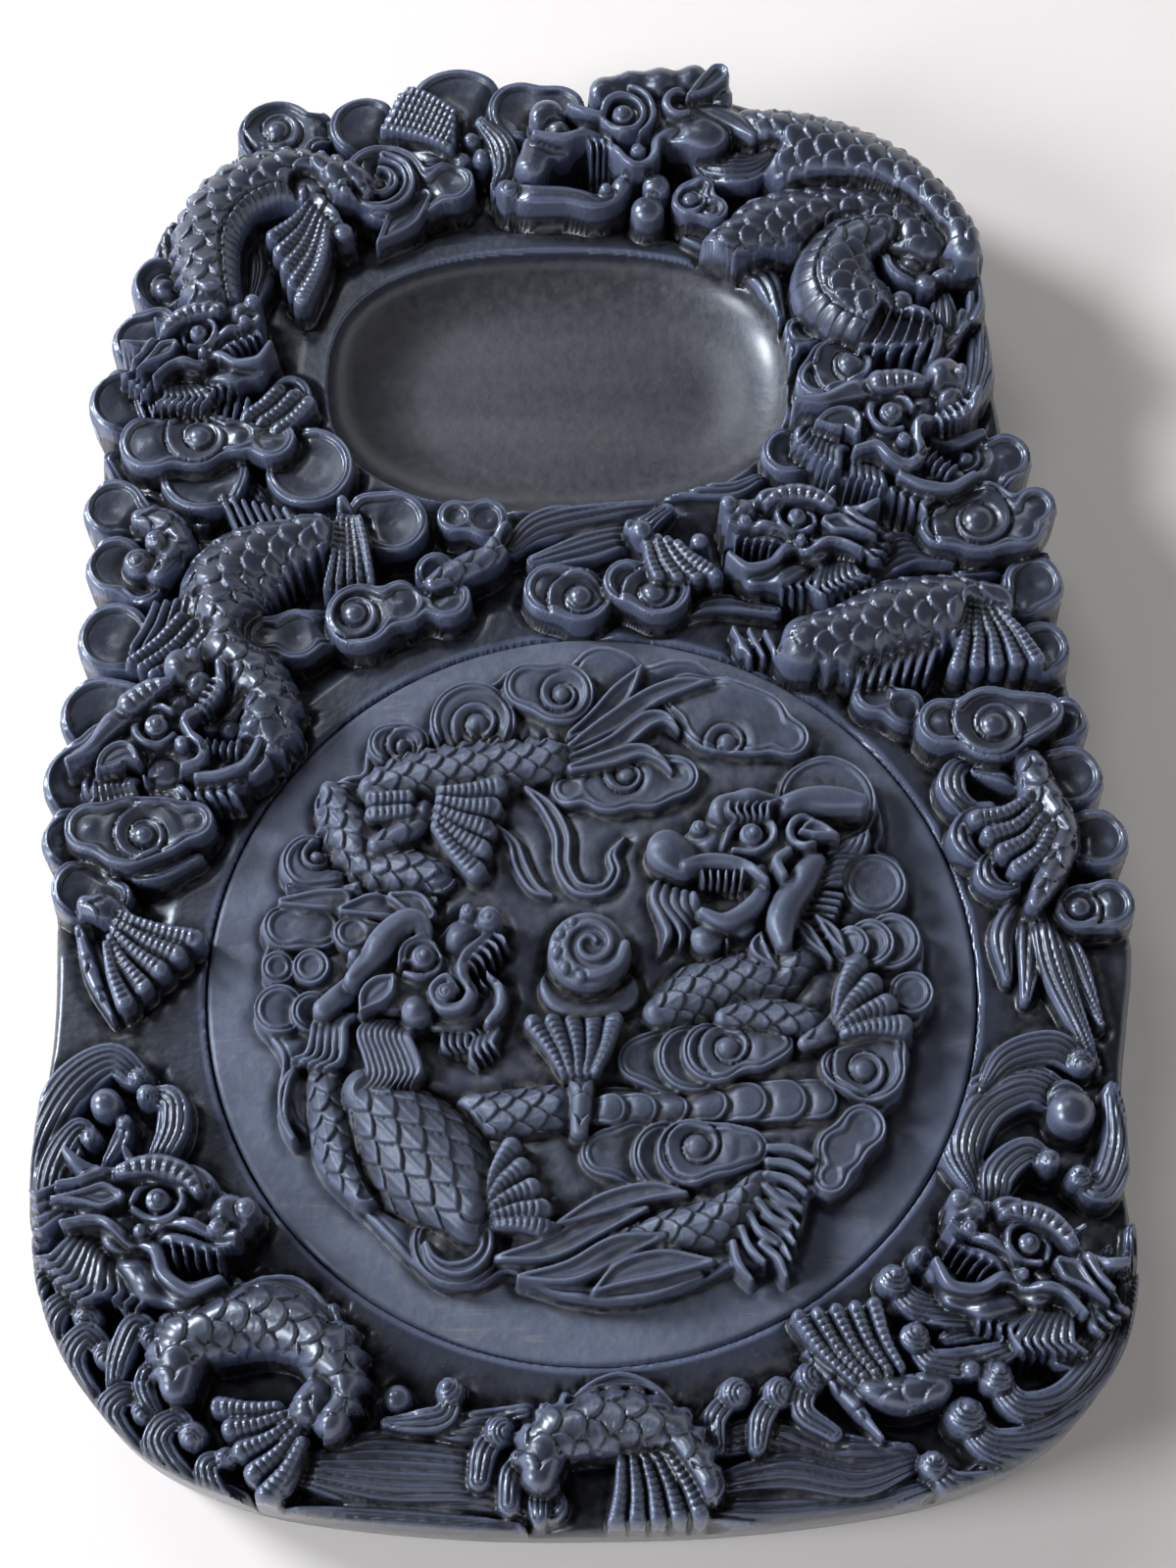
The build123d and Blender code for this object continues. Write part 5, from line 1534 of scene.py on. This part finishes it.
studio = dict(
    floorColour=(0.95, 0.895, 0.87, 1),
    floorReach=2.2,      # the floor is flat this far out, then sweeps up into a wall
    sweep=0.5,
    wallTop=1.5,
    glow=0.10,
    clearOfShadow=(0.35, 1.0),
    sky=0.06,
    skyColour=(1.0, 0.955, 0.94, 1),
    around=72,
    lamps=[
        # name, place, size, power, colour
        ("windowLow", (-1.25, 0.54, 0.90), 0.50, 27.5, (0.92, 0.96, 1.0)),
        ("windowHigh", (-0.50, 1.00, 1.53), 0.54, 3.5, (0.92, 0.96, 1.0)),
        ("windowNear", (-1.14, -0.44, 0.84), 0.55, 12.5, (0.92, 0.96, 1.0)),
        ("rightFill", (1.40, 0.0, 1.05), 1.6, 0.8, (1.0, 0.95, 0.91)),
    ],
)


def makeFloor():
    # flat, then swept up into a low round wall, so that the background is pale from every side
    reach, sweep = studio["floorReach"], studio["sweep"]
    turns = [math.radians(15 * k) for k in range(7)]
    profile = [(reach * share, 0.0) for share in (0.1, 0.25, 0.5, 0.75)]
    profile += [(reach + sweep * math.sin(a), sweep * (1 - math.cos(a))) for a in turns]
    profile.append((reach + sweep, studio["wallTop"]))
    around = studio["around"]
    angles = [math.tau * k / around for k in range(around)]
    points = [(0.0, 0.0, 0.0)]
    for r, z in profile:
        points += [(r * math.cos(a), r * math.sin(a), z) for a in angles]
    faces = [(0, 1 + k, 1 + (k + 1) % around) for k in range(around)]
    for ring in range(len(profile) - 1):
        inner, outer = 1 + ring * around, 1 + (ring + 1) * around
        for k in range(around):
            after = (k + 1) % around
            faces.append((inner + k, outer + k, outer + after, inner + after))
    mesh = bpy.data.meshes.new("paleFloor")
    mesh.from_pydata(points, [], faces)
    mesh.polygons.foreach_set("use_smooth", [True] * len(faces))
    floor = bpy.data.objects.new("paleFloor", mesh)
    bpy.context.scene.collection.objects.link(floor)
    n = Nodes(bpy.data.materials.new("paleFloor"))
    path = n.make("ShaderNodeLightPath")
    where = n.make("ShaderNodeTexCoord").out("Object")
    away = n.make("ShaderNodeVectorMath", dict(operation="LENGTH"), {0: where}).out("Value")
    near, far = studio["clearOfShadow"]
    beyond = ((away - near) * (1 / (far - near))).clamp()
    looked = path.out("Is Camera Ray") + path.out("Is Glossy Ray") + path.out("Is Transmission Ray")
    white = looked.clamp() * (beyond * (1 - studio["glow"]) + studio["glow"])
    lit = n.make("ShaderNodeBsdfDiffuse", {}, {"Color": studio["floorColour"]})
    glow = n.make("ShaderNodeEmission", {}, {"Color": (1, 1, 1, 1), "Strength": 1.0})
    mixed = n.make("ShaderNodeMixShader", {}, {0: white, 1: lit.out(0), 2: glow.out(0)})
    n.make("ShaderNodeOutputMaterial", {}, {"Surface": mixed.out(0)})
    mesh.materials.append(n.owner)


def makeSky():
    world = bpy.data.worlds.new("softSky")
    bpy.context.scene.world = world
    n = Nodes(world)
    soft = n.make("ShaderNodeBackground", {}, {"Color": studio["skyColour"], "Strength": studio["sky"]})
    n.make("ShaderNodeOutputWorld", {}, {"Surface": soft.out(0)})


def makeLamps():
    for name, place, size, power, colour in studio["lamps"]:
        lamp = bpy.data.lights.new(name, "AREA")
        lamp.shape = "DISK"
        lamp.size = size
        lamp.energy = power
        lamp.color = colour
        thing = bpy.data.objects.new(name, lamp)
        thing.location = place
        thing.rotation_euler = Vector(place).to_track_quat("Z", "Y").to_euler()
        bpy.context.scene.collection.objects.link(thing)


def makeCamera():
    camera = bpy.data.cameras.new("photoCamera")
    camera.lens = view["lens"]
    camera.sensor_width = 36.0
    thing = bpy.data.objects.new("photoCamera", camera)
    tilt, roll = math.radians(view["tilt"]), math.radians(view["roll"])
    forward = Vector((0, math.sin(tilt), -math.cos(tilt)))
    level, above = Vector((1, 0, 0)), Vector((0, math.cos(tilt), math.sin(tilt)))
    right = math.cos(roll) * level - math.sin(roll) * above
    up = math.cos(roll) * above + math.sin(roll) * level
    turn = Matrix((right, up, -forward)).transposed().to_4x4()
    thing.matrix_world = Matrix.Translation(Vector(view["place"]) * mm) @ turn
    bpy.context.scene.collection.objects.link(thing)
    bpy.context.scene.camera = thing


makeFloor()
makeSky()
makeLamps()
makeCamera()
bpy.context.scene.view_settings.view_transform = "Standard"
print("floor, light and camera ready")
